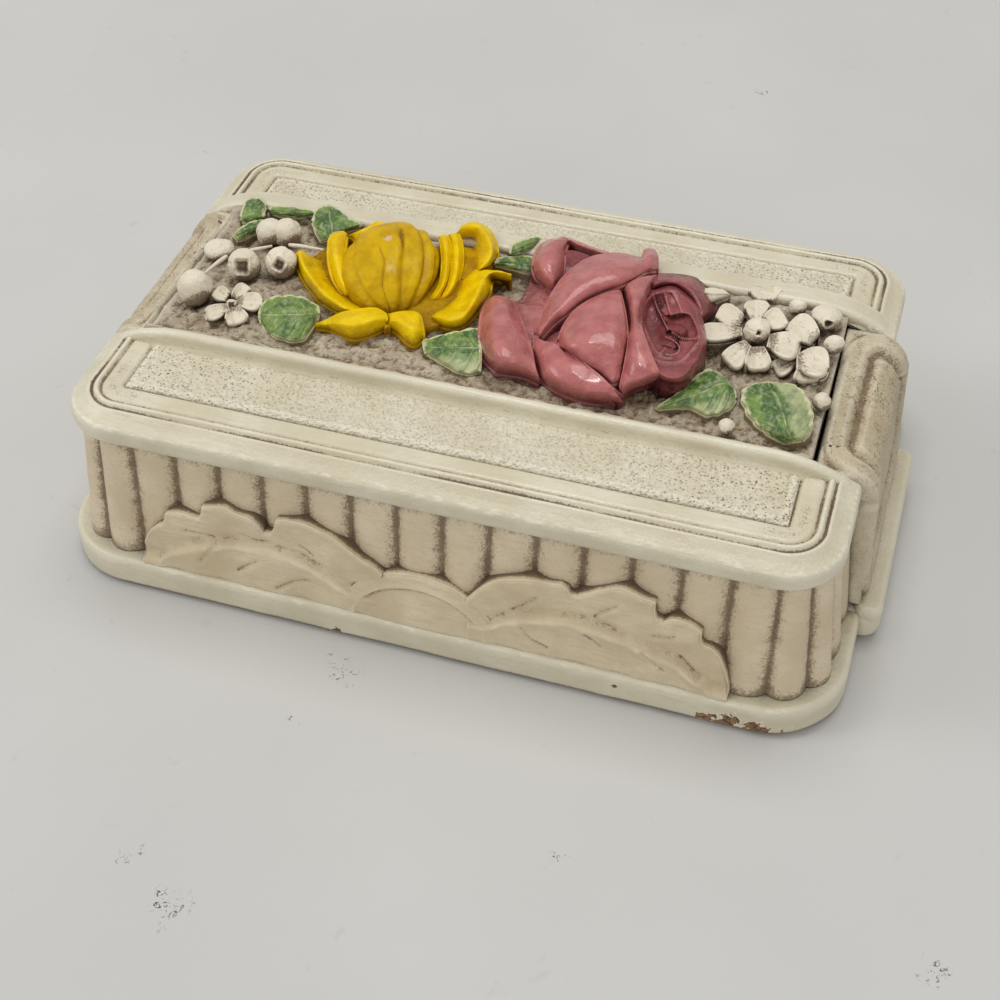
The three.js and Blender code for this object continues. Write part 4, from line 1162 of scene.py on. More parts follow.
# Leaves, from one edge over the midrib to the other edge
LEAF_FAR_LEFT_TOP = [
    [(265, 218, 50), (264, 212, 50.5), (267, 206, 50)],
    [(257, 220, 50), (256, 211, 51.3), (261, 198, 50.8)],
    [(247, 222, 50), (247, 212, 51.3), (252, 197, 50.8)],
    [(241, 221, 49.5), (241, 214, 50.5), (245, 202, 50.5)],
]
LEAF_FAR_LEFT_LOW = [
    [(265, 220, 50), (264, 224, 50.2), (262, 228, 49.5)],
    [(256, 220, 50), (255, 227, 50.6), (252, 235, 49)],
    [(244, 225, 49.8), (245, 231, 50.2), (243, 239, 48.6)],
    [(233, 235, 49), (234, 236, 49.2), (238, 241, 48.5)],
]
LEAF_NARROW = [
    [(269, 202, 50.5), (270, 209, 51), (269, 217, 50)],
    [(285, 206, 50.5), (285, 211, 51), (284, 217, 50)],
    [(301, 207, 50.5), (301, 213, 51), (299, 218, 50)],
    [(315, 209, 50), (314, 213, 50.5), (311, 218, 49.5)],
]
LEAF_BACK_LEFT = [
    [(319, 207, 51), (329, 204, 52), (339, 210, 51.5)],
    [(313, 217, 50.5), (330, 218, 52.2), (351, 219, 51)],
    [(314, 228, 50), (332, 227, 51.8), (363, 226, 50)],
    [(321, 242, 49), (332, 238, 50.5), (347, 231, 50)],
]
LEAF_ROUND = [
    [(260, 308, 50), (259, 315, 50), (261, 323, 49.5)],
    [(269, 298, 50.5), (271, 315, 51.5), (269, 333, 49)],
    [(285, 295, 51), (288, 315, 52), (285, 340, 49)],
    [(302, 297, 51), (303, 315, 51.5), (303, 339, 49)],
    [(318, 306, 50), (319, 313, 50), (317, 320, 49.3)],
]
LEAF_FRONT_MIDDLE = [
    [(423, 340, 49), (424, 347, 49), (426, 353, 48.5)],
    [(441, 335, 49.5), (441, 348, 50.3), (443, 364, 48.5)],
    [(462, 330, 49.8), (462, 348, 50.5), (464, 374, 48.5)],
    [(480, 327, 50), (481, 348, 50.3), (480, 372, 48.5)],
]
LEAF_BACK_MIDDLE = [
    [(508, 255, 50), (510, 251, 50.5), (512, 244, 50.5)],
    [(518, 255, 50.5), (521, 247, 51.5), (523, 239, 51)],
    [(531, 249, 50.5), (533, 242, 51.3), (535, 236, 51)],
    [(540, 240, 50), (541, 240, 50.3), (541, 238, 50)],
]
LEAF_BACK_STALK = [
    [(493, 265, 49.5), (495, 262, 50), (497, 258, 49.5)],
    [(507, 268, 49.5), (511, 262, 50.3), (513, 256, 49.8)],
    [(524, 272, 49.5), (525, 265, 50), (524, 255, 49.5)],
    [(534, 273, 49), (534, 265, 49.5), (533, 257, 49.3)],
]
LEAF_FRONT_RIGHT = [
    [(656, 407, 48.5), (657, 408, 48.6), (659, 409, 48.3)],
    [(677, 393, 49.5), (683, 399, 50), (688, 408, 48.8)],
    [(696, 376, 50.5), (703, 392, 51.3), (705, 415, 49)],
    [(709, 369, 51), (718, 385, 51.8), (718, 414, 49.3)],
    [(722, 376, 51), (728, 385, 51.5), (731, 407, 49.5)],
    [(734, 389, 50), (735, 392, 50.3), (736, 399, 49.8)],
]
LEAF_CORNER_RIGHT = [
    [(757, 383, 51), (766, 382, 51.5), (772, 382, 51)],
    [(743, 391, 50.5), (771, 388, 52), (794, 385, 51.5)],
    [(745, 408, 50), (778, 401, 52.2), (806, 396, 51.3)],
    [(756, 424, 49.5), (784, 418, 51.8), (812, 413, 50.8)],
    [(772, 437, 49), (788, 432, 51), (811, 430, 50)],
    [(785, 443, 48.5), (794, 441, 49.5), (803, 440, 49.3)],
]
LEAF_WHITE = [
    [(700, 289, 50), (702, 293, 50.5), (703, 298, 49.5)],
    [(712, 288, 50.5), (713, 294, 51.3), (710, 304, 49.5)],
    [(722, 289, 50.5), (724, 294, 51), (722, 300, 50)],
    [(729, 294, 50), (730, 295, 50.2), (729, 297, 50)],
]


def spline(points, count):
    """A smooth line of count points through the given ones."""
    points = np.asarray(points, float)
    last = len(points) - 1
    place = np.linspace(0, last, count)
    index = np.minimum(place.astype(int), last - 1)
    share = (place - index).reshape((-1,) + (1,) * (points.ndim - 1))
    before = points[np.maximum(index - 1, 0)]
    here = points[index]
    there = points[index + 1]
    after = points[np.minimum(index + 2, last)]
    slope_here = (there - before) / 2
    slope_there = (after - here) / 2
    square = share * share
    cube = square * share
    return ((2 * cube - 3 * square + 1) * here + (cube - 2 * square + share) * slope_here
            + (3 * square - 2 * cube) * there + (cube - square) * slope_there)


def refine(net, rows, columns):
    """A net with more rows and columns, smooth through the traced points."""
    along = spline(net, rows)
    return spline(along.transpose(1, 0, 2), columns).transpose(1, 0, 2)


def nearest_on(points, line):
    """How far each point is from the nearest point of a line, and that point."""
    gaps = np.linalg.norm(points[..., None, :] - line, axis=-1)
    return gaps.min(-1), line[gaps.argmin(-1)]


def outward_directions(loop):
    """Unit directions out of a closed loop, in X and Y."""
    tangent = np.roll(loop, -1, 0) - np.roll(loop, 1, 0)
    outward = np.column_stack([tangent[:, 1], -tangent[:, 0]])
    area = np.sum(loop[:, 0] * np.roll(loop[:, 1], -1) - loop[:, 1] * np.roll(loop[:, 0], -1))
    outward *= 1 if area > 0 else -1
    for _ in range(3):
        outward /= np.maximum(np.linalg.norm(outward, axis=1, keepdims=True), 1e-9)
        outward = (np.roll(outward, 1, 0) + 2 * outward + np.roll(outward, -1, 0)) / 4
    return outward


# Rings that round a carving's edge, above its straight side
EDGE_RINGS = 4


def carved_solid(grid, edge, floor):
    """A closed solid under a carved face, with a rounded edge and sides down to the floor."""
    rows, columns = grid.shape[:2]
    border = border_of(rows, columns)
    loop = grid.reshape(-1, 3)[border]
    outward = outward_directions(loop[:, :2])
    count = rows * columns
    faces = grid_faces(rows, columns).tolist()
    points = [grid.reshape(-1, 3)]
    turns = np.linspace(0, math.pi / 2, EDGE_RINGS + 1)[1:]
    drops = [(math.sin(a), 1 - math.cos(a)) for a in turns]
    heights = [np.maximum(loop[:, 2] - edge * down, floor) for _, down in drops]
    rings = [np.column_stack([loop[:, :2] + outward * edge * out, z]) for (out, _), z in zip(drops, heights)]
    rings.append(np.column_stack([loop[:, :2] + outward * edge, np.full(len(loop), floor)]))
    previous = border
    for i, ring in enumerate(rings):
        current = count + i * len(loop) + np.arange(len(loop))
        faces += np.stack([previous, current, np.roll(current, -1), np.roll(previous, -1)], -1).tolist()
        points.append(ring)
        previous = current
    faces.append(previous.tolist())
    return np.concatenate(points), faces


def edge_distance(grid, extra):
    """Millimetres from each point of a face to its border; the border's own rings get 0."""
    rows, columns = grid.shape[:2]
    length = np.linalg.norm(np.diff(grid, axis=0), axis=2).sum(0).mean()
    width = np.linalg.norm(np.diff(grid, axis=1), axis=2).sum(1).mean()
    from_ends = np.minimum(np.linspace(0, 1, rows), np.linspace(1, 0, rows)) * length
    from_sides = np.minimum(np.linspace(0, 1, columns), np.linspace(1, 0, columns)) * width
    distance = np.minimum(from_ends[:, None], from_sides[None, :])
    return np.concatenate([distance.ravel(), np.zeros(extra)])


def roll_down(net, reach, depth, low):
    """Rounds a traced net down towards its near edges, reach in pixels, depth in millimetres."""
    rows, columns = net.shape[:2]
    loop = net.reshape(-1, 3)[border_of(rows, columns)]
    facing = np.clip(outward_directions(loop[:, :2])[:, 1], 0, 1) ** 0.5
    gap = np.linalg.norm(net[..., None, :2] - loop[None, None, :, :2], axis=-1)
    share = 1 - np.clip(gap / reach, 0, 1)
    bend = ((1 - np.sqrt(1 - share * share)) * facing).max(-1)
    target = np.minimum(net[..., 2], np.maximum(net[..., 2] - depth, low))
    rolled = net.copy()
    rolled[..., 2] += (target - net[..., 2]) * bend
    return rolled


def carve(name, grid, paint, node, edge=0.5, masks=None, rounds=10):
    """A carved piece of the lid, which sinks into the ground, with its edge and skirt marked."""
    points, faces = carved_solid(grid, edge, CARVING_FLOOR)
    extra = len(points) - grid.shape[0] * grid.shape[1]
    given = {key: np.concatenate([values.ravel(), np.zeros(extra)]) for key, values in (masks or {}).items()}
    given["edge"] = edge_distance(grid, extra)
    loop_size = extra // (EDGE_RINGS + 1)
    given["skirt"] = np.concatenate([np.zeros(len(points) - 2 * loop_size), np.full(loop_size, 0.9),
                                     np.full(loop_size, 1.6)])
    return add_piece(name, points, faces, paint, "lid", [node], rounds, given)


def petal(name, net, paint, slot, node, edge=0.5, ripple=0.12, seed=20, detail=(46, 34), depth=10, reach=11):
    """A petal from its traced net; depth is how far its near edges may drop."""
    grid = lift(roll_down(refine(net, *detail), reach, depth, CARVING_LOW))
    grid[..., 2] += rough(grid, 4.5, 2, seed) * ripple
    return carve(name, grid, paint, node, edge)


# Flower paints
def glossy_paint(name, light, dark, deep, pale, deep_top, deep_bottom, gloss=0.3, coat=0.4,
                 shine=0.3):
    """Glossy paint that thins over edges and darkens in hollows and low down.

    It starts to darken at the height deep_top and is darkest at deep_bottom, in millimetres.
    """
    paint = Paint(name, roughness=gloss, coat=coat)
    paint.shader.inputs["Specular IOR Level"].default_value = shine
    base = paint.mix(paint.ramp(paint.noise(3.5, 4), 0.3, 0.7), light, dark)
    height = paint.node("ShaderNodeSeparateXYZ")
    paint.link(paint.where, height.inputs[0])
    grime = paint.noise(0.8, 6, 0.6)
    uneven_height = paint.plus(height.outputs["Z"], paint.ramp(grime, 0, 1, -1.2, 1.2))
    low = paint.ramp(uneven_height, deep_top, deep_bottom)
    uneven_hollow = paint.plus(paint.mask("hollow"), paint.ramp(grime, 0, 1, -0.05, 0.05))
    hollow = paint.ramp(uneven_hollow, 0.03, 0.3)
    # Painted shade in narrow gaps and under edges, from ambient occlusion.
    shelter = paint.ramp(paint.shelter(3.0), 0.45, 1.0)
    sunk = paint.maths("MAXIMUM", hollow, shelter)
    deepened = paint.maths("MAXIMUM", paint.times(low, 0.75), sunk)
    base = paint.cover(base, deep, deepened, 0.85)
    specks = paint.ramp(paint.noise(0.45, 4), 0.64, 0.72)
    base = paint.cover(base, deep, specks, 0.35)
    ridge = paint.ramp(paint.mask("hollow"), -0.12, -0.4)
    worn = paint.times(ridge, paint.ramp(grime, 0.45, 0.7))
    base = paint.cover(base, pale, worn, 0.35)
    # Painted highlight: paler along the marked crests.
    base = paint.cover(base, pale, paint.mask("crest_highlight"), 0.6)
    uneven_skirt = paint.plus(paint.mask("skirt"), paint.ramp(grime, 0.2, 0.8, -0.3, 0.3))
    skirt = paint.ramp(uneven_skirt, 0.4, 1.3)
    base = paint.cover(base, deep, skirt, 0.85)
    chipped = paint.plus(paint.mask("chip"), paint.ramp(grime, 0.25, 0.75, -0.35, 0.35))
    base = paint.mix(paint.ramp(chipped, 0.6, 0.66), base, PALE_CHIP)
    normal = paint.bump(paint.noise(1.3, 3), 0.35)
    normal = paint.bump(paint.noise(0.35, 3), 0.08, normal)
    roughness = paint.ramp(paint.noise(1.2, 4), 0.35, 0.65, gloss - 0.08, gloss + 0.25)
    return paint.finish(base, roughness, normal)


def leaf_paint(name, deep_green, mid_green, pale):
    """Green brushed thinly over off-white, bare at the edges."""
    paint = Paint(name, roughness=0.42, coat=0.15)
    strokes = paint.noise(0.9, 5, 0.5, (1.0, 0.6, 1.0))
    patches = paint.noise(4.0, 2)
    base = paint.mix(paint.ramp(patches, 0.42, 0.58), deep_green, mid_green)
    base = paint.cover(base, pale, paint.ramp(strokes, 0.42, 0.8), 0.5)
    thin = paint.plus(paint.mask("thin"), paint.ramp(patches, 0.3, 0.7, -0.3, 0.3))
    base = paint.cover(base, pale, paint.ramp(thin, 0.2, 1.2), 0.6)
    rim = paint.plus(paint.mask("edge"), paint.ramp(paint.noise(1.1, 3), 0, 1, -0.7, 0.7))
    base = paint.mix(paint.ramp(rim, 1.1, 0.5), base, pale)
    # Painted highlight: pale along the midrib and side veins.
    line = paint.times(paint.mask("vein"), paint.ramp(paint.noise(1.6, 2), 0.35, 0.6))
    base = paint.cover(base, pale, line, 0.5)
    dip = paint.ramp(paint.mask("hollow"), 0.05, 0.2)
    base = paint.cover(base, colour(44, 78, 36), dip, 0.45)
    # Painted shade in narrow gaps and under edges, from ambient occlusion.
    shelter = paint.ramp(paint.shelter(3.0), 0.4, 1.0)
    base = paint.cover(base, DARK_WASH_AND_SHADE, shelter, 0.6)
    uneven_skirt = paint.plus(paint.mask("skirt"), paint.ramp(strokes, 0.2, 0.8, -0.3, 0.3))
    skirt = paint.ramp(uneven_skirt, 0.3, 0.9)
    base = paint.cover(base, BROWN_WASH_AND_SHADE, skirt, 0.85)
    normal = paint.bump(paint.noise(0.5, 4), 0.1)
    return paint.finish(base, None, normal)


YELLOW = colour(246, 210, 0)
YELLOW_SHADE = colour(226, 184, 0)
YELLOW_DEEP = colour(136, 92, 4)
YELLOW_WORN = colour(244, 218, 30)
PINK = colour(196, 118, 113)
PINK_SHADE = colour(172, 94, 92)
PINK_DEEP = colour(98, 40, 44)
PALE_CHIP = colour(216, 184, 158)
OFF_WHITE = colour(240, 231, 210)
OFF_WHITE_SHADE = colour(224, 213, 190)

yellow_paint = glossy_paint("yellow_gloss", YELLOW, YELLOW_SHADE, YELLOW_DEEP, YELLOW_WORN,
                            deep_top=49.6, deep_bottom=46.8, coat=0.16, shine=0.12)
bulb_paint = glossy_paint("bulb_gloss", colour(218, 178, 0), colour(196, 154, 0), YELLOW_DEEP, YELLOW_WORN,
                          deep_top=53.5, deep_bottom=47.2, coat=0.1, shine=0.1)
yellow_recess_paint = glossy_paint("yellow_recess", colour(206, 164, 4), colour(170, 126, 4),
                                   colour(122, 84, 6), colour(204, 160, 10), deep_top=50.0,
                                   deep_bottom=46.6, gloss=0.6, coat=0.05, shine=0.1)
pink_paint = glossy_paint("pink_gloss", PINK, PINK_SHADE, PINK_DEEP, colour(222, 164, 156),
                          deep_top=50.6, deep_bottom=47.4, coat=0.7)
dark_pink_paint = glossy_paint("dark_pink_gloss", colour(158, 80, 82), colour(126, 58, 60),
                               colour(82, 34, 36), colour(206, 146, 138), deep_top=52.6,
                               deep_bottom=49.4, gloss=0.38)
white_paint = antique_paint("blossom_white", OFF_WHITE, OFF_WHITE_SHADE, 0.06, 0.3, dirt_and_shade=0.8, worn=0.5)
green_paint = leaf_paint("leaf_green", colour(58, 97, 30), colour(108, 138, 56), colour(204, 206, 160))


# Yellow flower
BULB_TOP_PIXEL = (392, 236, 57.4)
BULB_RADII = (11.2, 12.2)
BULB_PROFILE = [(0.02, 0), (0.3, -0.3), (0.58, -1.2), (0.82, -2.8), (0.96, -4.4), (1.0, -5.8), (0.97, -7.3),
                (0.89, -8.7), (0.78, -10.0)]
BULB_LEAN = (1.6, -7.6)
# The folds between its petals: the line, how deep it is in millimetres and its half width in pixels
BULB_FOLDS = [
    ([(355, 240), (352, 260), (359, 284), (376, 306)], 0.5, 3.5),
    ([(379, 246), (384, 261), (383, 289), (390, 312)], 0.45, 1.0),
    ([(400, 226), (403, 246), (402, 264), (400, 296), (398, 314)], 0.7, 2.6),
    ([(416, 226), (424, 242), (425, 264), (421, 283), (414, 300), (406, 315)], 0.85, 2.8),
    ([(430, 234), (437, 252), (437, 268), (431, 287), (418, 308)], 0.9, 2.6),
]
BULB_CHIP_PIXEL = (388, 239, 57.2)
BULB_CHIP_RADIUS = 1.5
# The middle from which the bulb's folds stand out, from its top
BULB_CORE = (1, -3, -9)


def build_bulb():
    """The closed middle of the flower: overlapping petals that rise from its front."""
    top = lift(BULB_TOP_PIXEL)
    profile = smooth_profile(spline(BULB_PROFILE, 80), 90)
    around = np.linspace(0, TURN, 300, endpoint=False)[None, :]
    share = np.linspace(0, 1, len(profile))[:, None]
    lean = np.array(BULB_LEAN) * share[..., None] ** 1.6
    x = top[0] + lean[..., 0] + BULB_RADII[0] * profile[:, None, 0] * np.cos(around)
    y = top[1] + lean[..., 1] + BULB_RADII[1] * profile[:, None, 0] * np.sin(around)
    rings = np.stack([x, y, top[2] + profile[:, None, 1] + 0 * around], -1)
    seen = seen_at(rings)
    rise = 0.25 + 0 * seen[..., 0]
    for fold, depth, half_width in BULB_FOLDS:
        line = spline(fold, 80)
        at = np.interp(seen[..., 1], line[:, 1], line[:, 0])
        gap = seen[..., 0] - at
        groove = 0.3 * bell(gap, -2 * half_width, 1.6 * half_width) - 0.9 * bell(gap, 0, half_width)
        rise += depth * groove * smoothstep(line[0, 1] - 6, line[0, 1] + 6, seen[..., 1])
    core = top + np.array(BULB_CORE)
    outward = (rings - core) / np.linalg.norm(rings - core, axis=-1, keepdims=True)
    rings += outward * rise[..., None]
    rings += (rough(rings, 5, 2, 21) * 0.2)[..., None]
    points, faces = ring_solid(rings[::-1])
    chip = lift(BULB_CHIP_PIXEL)
    add_piece("yellow_bulb", points, faces, bulb_paint, "lid", ["yellow_flower"], 10,
              {"chip": spots(points, [(*chip, BULB_CHIP_RADIUS)])})


YELLOW_DISH = [(308, 262), (326, 300), (366, 320), (418, 328), (446, 322), (478, 300), (492, 272), (480, 244),
               (440, 236), (360, 240)]
YELLOW_CURL_FLOOR = [(452, 238), (478, 228), (494, 240), (492, 262), (474, 280), (452, 272)]


def build_mound(name, outline, low, high, paint, node, seed=40):
    """A low rough mound inside a traced outline."""
    closed = outline + outline[:3]
    line = spline(closed, 40 * len(closed))[20:]
    rim = lift(np.column_stack([line, np.full(len(line), low)]))
    once_round = np.argmin(np.linalg.norm(rim[200:] - rim[0], axis=1)) + 200
    rim = rim[:once_round]
    rim[:, 1] = np.clip(rim[:, 1], SEAM - GROUND_HALF_DEPTH, GROUND_HALF_DEPTH - SEAM)
    middle = rim.mean(0)
    rings = []
    for share in np.linspace(1, 0.02, 30):
        ring = middle + (rim - middle) * share
        ring[:, 2] = low + (high - low) * (1 - share * share)
        rings.append(ring)
    rings = np.array(rings)
    rings[..., 2] += rough(rings, 2.5, 3, seed) * 0.3
    skirt = rings[0].copy()
    skirt[:, 2] = CARVING_FLOOR
    rings = np.concatenate([skirt[None], rings])
    points, faces = ring_solid(rings)
    add_piece(name, points, faces, paint, "lid", [node], 10, {"edge": np.full(len(points), 5.0)})


# The yellow flower's petals: net, edge, seed, and what differs from a usual petal
YELLOW_PETALS = {
    "yellow_left_outer": (YELLOW_LEFT_OUTER, 0.6, 22, {}),
    "yellow_front_left": (YELLOW_FRONT_LEFT, 0.5, 23, {"reach": 16}),
    "yellow_front_point": (YELLOW_FRONT_POINT, 0.5, 24, {"reach": 14}),
    "yellow_right_outer": (YELLOW_RIGHT_OUTER, 0.5, 25, {}),
    "yellow_back_curl": (YELLOW_BACK_CURL, 0.5, 26, {"depth": 2.5}),
    "yellow_left_inner": (YELLOW_LEFT_INNER, 0.5, 27, {"depth": 1.5, "reach": 8}),
    "yellow_right_inner": (YELLOW_RIGHT_INNER, 0.3, 28, {"depth": 1.5, "reach": 8}),
    "yellow_right_middle": (YELLOW_RIGHT_MIDDLE, 0.3, 29, {"depth": 1.5, "reach": 8}),
    "yellow_back_left": (YELLOW_BACK_LEFT, 0.4, 30, {"depth": 1}),
}


def build_yellow_flower():
    """The bulb, the petals round it and the dark floor between them."""
    slot, node = "yellow_paint", "yellow_flower"
    build_bulb()
    for name, (net, edge, seed, differing) in YELLOW_PETALS.items():
        petal(name, net, yellow_paint, slot, node, edge, seed=seed, **differing)
    build_mound("yellow_dish", YELLOW_DISH, 47.4, 49.4, yellow_recess_paint, node)
    build_mound("yellow_curl_floor", YELLOW_CURL_FLOOR, 48.6, 50.2, yellow_recess_paint, node, 42)


# Rose
# Its open heart: outline, heights of the dish, and the small petals' crests with their rise
HEART_CENTRE_PIXEL = (669, 333)
HEART_OUTLINE = [(653, 294), (672, 290), (686, 299), (695, 313), (699, 329), (701, 348), (692, 365),
                 (682, 376), (670, 377), (658, 371), (650, 356), (643, 343),
                 (639, 329), (641, 317), (645, 303)]
HEART_FLOOR = 51.0
HEART_RISE = 2.9
HEART_SLUMP = 1.6
HEART_SKIRT_PIXELS = 6.0
HEART_CRESTS = [
    ([(671, 315), (680, 313), (689, 314), (694, 322), (698, 336), (691, 339), (682, 338), (672, 333)], 1.1),
    ([(666, 337), (674, 341), (679, 347), (678, 352), (672, 355), (666, 354)], 1.0),
    ([(643, 322), (649, 337), (656, 351), (660, 353), (665, 348)], 0.9),
    ([(653, 294), (657, 307), (663, 320), (668, 330)], 0.55),
    ([(665, 294), (668, 306), (671, 315)], 0.4),
    ([(673, 293), (678, 303), (682, 313)], 0.35),
    ([(651, 358), (663, 362), (677, 362), (688, 354), (696, 344)], 0.9),
]


def build_rose_heart():
    """The rose's open middle: a dish with the crests of small petals, and a skirt round it."""
    centre = np.array(HEART_CENTRE_PIXEL, float)
    outline = spline(HEART_OUTLINE + HEART_OUTLINE[:1], 241)[:-1]
    share = np.linspace(0.02, 1, 80)[:, None, None]
    flat = centre + (outline - centre) * share
    left = smoothstep(668, 644, flat[..., 0]) * smoothstep(0.98, 0.8, share[..., 0])
    height = HEART_FLOOR + HEART_RISE * share[..., 0] ** 2.4 - HEART_SLUMP * left
    own = np.linalg.norm(flat - centre, axis=-1)
    # The painted highlight along each small petal's crest.
    crest_highlight = 0 * height
    for line, rise in HEART_CRESTS:
        gap, nearest = nearest_on(flat, spline(line, 40))
        inside = own < np.linalg.norm(nearest - centre, axis=-1)
        height += 1.2 * rise * np.where(inside, bell(gap, 0, 1.1), np.exp(-gap / 5.0))
        crest_highlight = np.maximum(crest_highlight, bell(gap, 0, 0.9))
    rim = np.linspace(0, 1, 12)[1:, None, None] * HEART_SKIRT_PIXELS
    spread = (outline - centre) / np.linalg.norm(outline - centre, axis=1, keepdims=True)
    skirt = outline + spread * rim
    fall = height[-1] - 0.9 * (2 * rim[..., 0] / HEART_SKIRT_PIXELS) ** 1.6
    fall = np.maximum(fall, CARVING_LOW)
    dish = np.concatenate([flat, height[..., None]], -1)
    net = np.concatenate([dish, np.concatenate([skirt, fall[..., None]], -1)])
    rings = lift(net)
    rings[..., 2] += rough(rings, 2.2, 2, 43) * 0.1
    base = rings[-1].copy()
    base[:, 2] = CARVING_FLOOR
    points, faces = ring_solid(np.concatenate([rings, base[None]])[::-1])
    plain = np.zeros((len(rings) + 1 - len(crest_highlight), crest_highlight.shape[1]))
    crest_highlight = np.concatenate([crest_highlight, plain])[::-1]
    add_piece("rose_heart_petals", points, faces, dark_pink_paint, "lid", ["pink_rose"], 8,
              {"crest_highlight": crest_highlight})


ROSE_COLLAR = [
    [(652, 293, 54.0), (651, 282, 54.5), (653, 273, 52.0)],
    [(672, 289, 54.0), (675, 281, 54.0), (677, 274, 50.5)],
    [(686, 298, 53.5), (692, 287, 53.5), (696, 278, 50.0)],
    [(695, 312, 52.5), (704, 303, 52.0), (710, 291, 49.0)],
    [(699, 327, 51.0), (708, 320, 50.5), (718, 312, 48.5)],
]
ROSE_BACK_HOLLOW = [
    [(556, 254, 53.4), (574, 251, 53.6), (594, 258, 53.8)],
    [(558, 268, 51.4), (574, 268, 51.2), (588, 268, 52.2)],
    [(564, 286, 50.6), (574, 284, 50.4), (582, 280, 51.0)],
]
ROSE_BED = [(483, 320), (490, 304), (520, 300), (536, 266), (556, 250), (600, 258), (650, 262), (680, 290),
            (690, 330), (684, 362), (640, 380), (605, 390), (560, 380), (520, 366), (490, 352)]
# The rose's petals: net, edge, seed, and what differs from a usual petal
ROSE_PETALS = {
    "rose_left": (ROSE_LEFT, 0.6, 31, {"reach": 16}),
    "rose_back_left": (ROSE_BACK_LEFT, 0.5, 32, {"depth": 3}),
    "rose_back_rim": (ROSE_BACK_RIM, 0.4, 33, {"depth": 1}),
    "rose_back_hollow": (ROSE_BACK_HOLLOW, 0.3, 44, {"depth": 1}),
    "rose_wrap": (ROSE_WRAP, 0.4, 34, {"detail": (70, 34), "depth": 1.2, "reach": 9}),
    "rose_heart": (ROSE_HEART, 0.4, 35, {"detail": (60, 50), "depth": 1.4, "reach": 9}),
    "rose_right": (ROSE_RIGHT, 0.3, 36, {"detail": (60, 40)}),
    "rose_collar": (ROSE_COLLAR, 0.3, 37, {}),
    "rose_skirt": (ROSE_SKIRT, 0.4, 38, {"detail": (60, 50), "reach": 14}),
    "rose_skirt_edge": (ROSE_SKIRT_EDGE, 0.3, 39, {"depth": 2}),
}
DARK_ROSE_PETALS = ("rose_back_hollow", "rose_collar")


def build_rose():
    """The petals, the open heart and the bed under them."""
    slot, node = "pink_paint", "pink_rose"
    for name, (net, edge, seed, differing) in ROSE_PETALS.items():
        paint = dark_pink_paint if name in DARK_ROSE_PETALS else pink_paint
        petal(name, net, paint, slot, node, edge, seed=seed, **differing)
    build_rose_heart()
    build_mound("rose_bed", ROSE_BED, 47.4, 50.4, pink_paint, node, 41)


# White blossoms and buds
# Each petal's foot and tip in pixels, its half width in pixels, and its heights at foot and tip
BLOSSOM_PETALS = {
    "white_blossom": [
        ((766, 303), (766, 286), 14.0, 50.0, 50.4), ((757, 322), (757, 300), 10.0, 52.0, 52.8),
        ((765, 326), (784, 316), 10.5, 52.0, 52.3), ((769, 342), (799, 349), 12.6, 51.8, 52.0),
        ((757, 347), (759, 373), 10.5, 51.8, 50.8), ((749, 345), (727, 366), 10.5, 51.8, 50.8),
        ((741, 333), (700, 333), 8.8, 52.0, 52.0), ((743, 323), (719, 311), 9.8, 51.6, 51.2),
    ],
    "side_blossom": [
        ((815, 342), (793, 320), 12.6, 50.4, 51.2), ((798, 363), (828, 363), 14.0, 50.4, 50.8),
        ((795, 360), (774, 372), 8.4, 49.4, 49.2), ((806, 366), (808, 384), 11.0, 49.6, 48.8),
    ],
    "little_blossom": [
        ((234, 301), (246, 285), 6.2, 50.4, 50.8), ((237, 303), (261, 302), 8.8, 50.2, 50.4),
        ((233, 308), (239, 326), 9.6, 50.0, 49.2), ((228, 308), (206, 316), 7.2, 50.0, 49.2),
        ((229, 300), (215, 291), 7.2, 50.0, 50.2),
    ],
}
# How wide a petal is at shares of its length, from its foot to its tip
BLOSSOM_WIDTH_SHARES = [(0, 0.6), (0.2, 0.86), (0.4, 1.06), (0.6, 1.16), (0.8, 1.12), (0.94, 0.86),
                        (1.0, 0.44)]
BLOSSOM_ROWS = 34
BLOSSOM_COLUMNS = 26


def blossom_petal_net(base, tip, half_width, low, high):
    """A broad blunt petal, narrow at its base and dished along the middle."""
    base = np.array(base, float)
    tip = np.array(tip, float)
    along = tip - base
    across = np.array([-along[1], along[0]]) / np.linalg.norm(along)
    rows = []
    for share, width in BLOSSOM_WIDTH_SHARES:
        row = []
        for side in (-1, -0.5, 0, 0.5, 1):
            x, y = base + along * share + across * side * width * half_width
            dish = 0.9 * side * side - 0.45
            droop = 0.5 * share ** 3
            cupped = dish * math.sin(math.pi * (share * 0.8 + 0.1))
            row.append((x, y, low + (high - low) * share + cupped - droop))
        rows.append(row)
    return rows


def build_blossoms():
    """The petals of the white blossoms, soiled at their feet, and the middle of the large one."""
    for node, petals in BLOSSOM_PETALS.items():
        for i, spec in enumerate(petals):
            net = refine(blossom_petal_net(*spec), BLOSSOM_ROWS, BLOSSOM_COLUMNS)
            across = np.linspace(-1, 1, BLOSSOM_COLUMNS)[None, :]
            along = np.linspace(0, 1, BLOSSOM_ROWS)[:, None]
            net[..., 2] -= 0.16 * bell(np.abs(across), 0.2, 0.16) * smoothstep(1, 0.5, along)
            net[..., 2] += rough(net, 10, 2, 50 + i) * 0.12
            grid = lift(roll_down(net, 6, 3.5, CARVING_LOW))
            soiled = np.broadcast_to(0.26 * smoothstep(0.4, 0.05, along), grid.shape[:2])
            carve(f"{node}_petal_{i + 1}", grid, white_paint, node, 0.35,
                  masks={"groove": soiled}, rounds=6)
    build_ball("white_blossom_middle", (757, 331, 51.8), 3.0, "white_blossom", opening=9)


# The direction in which a bud's underside, near its front, is darkest
BUD_DARK_SIDE = np.array((0.5, -0.45, -0.75))


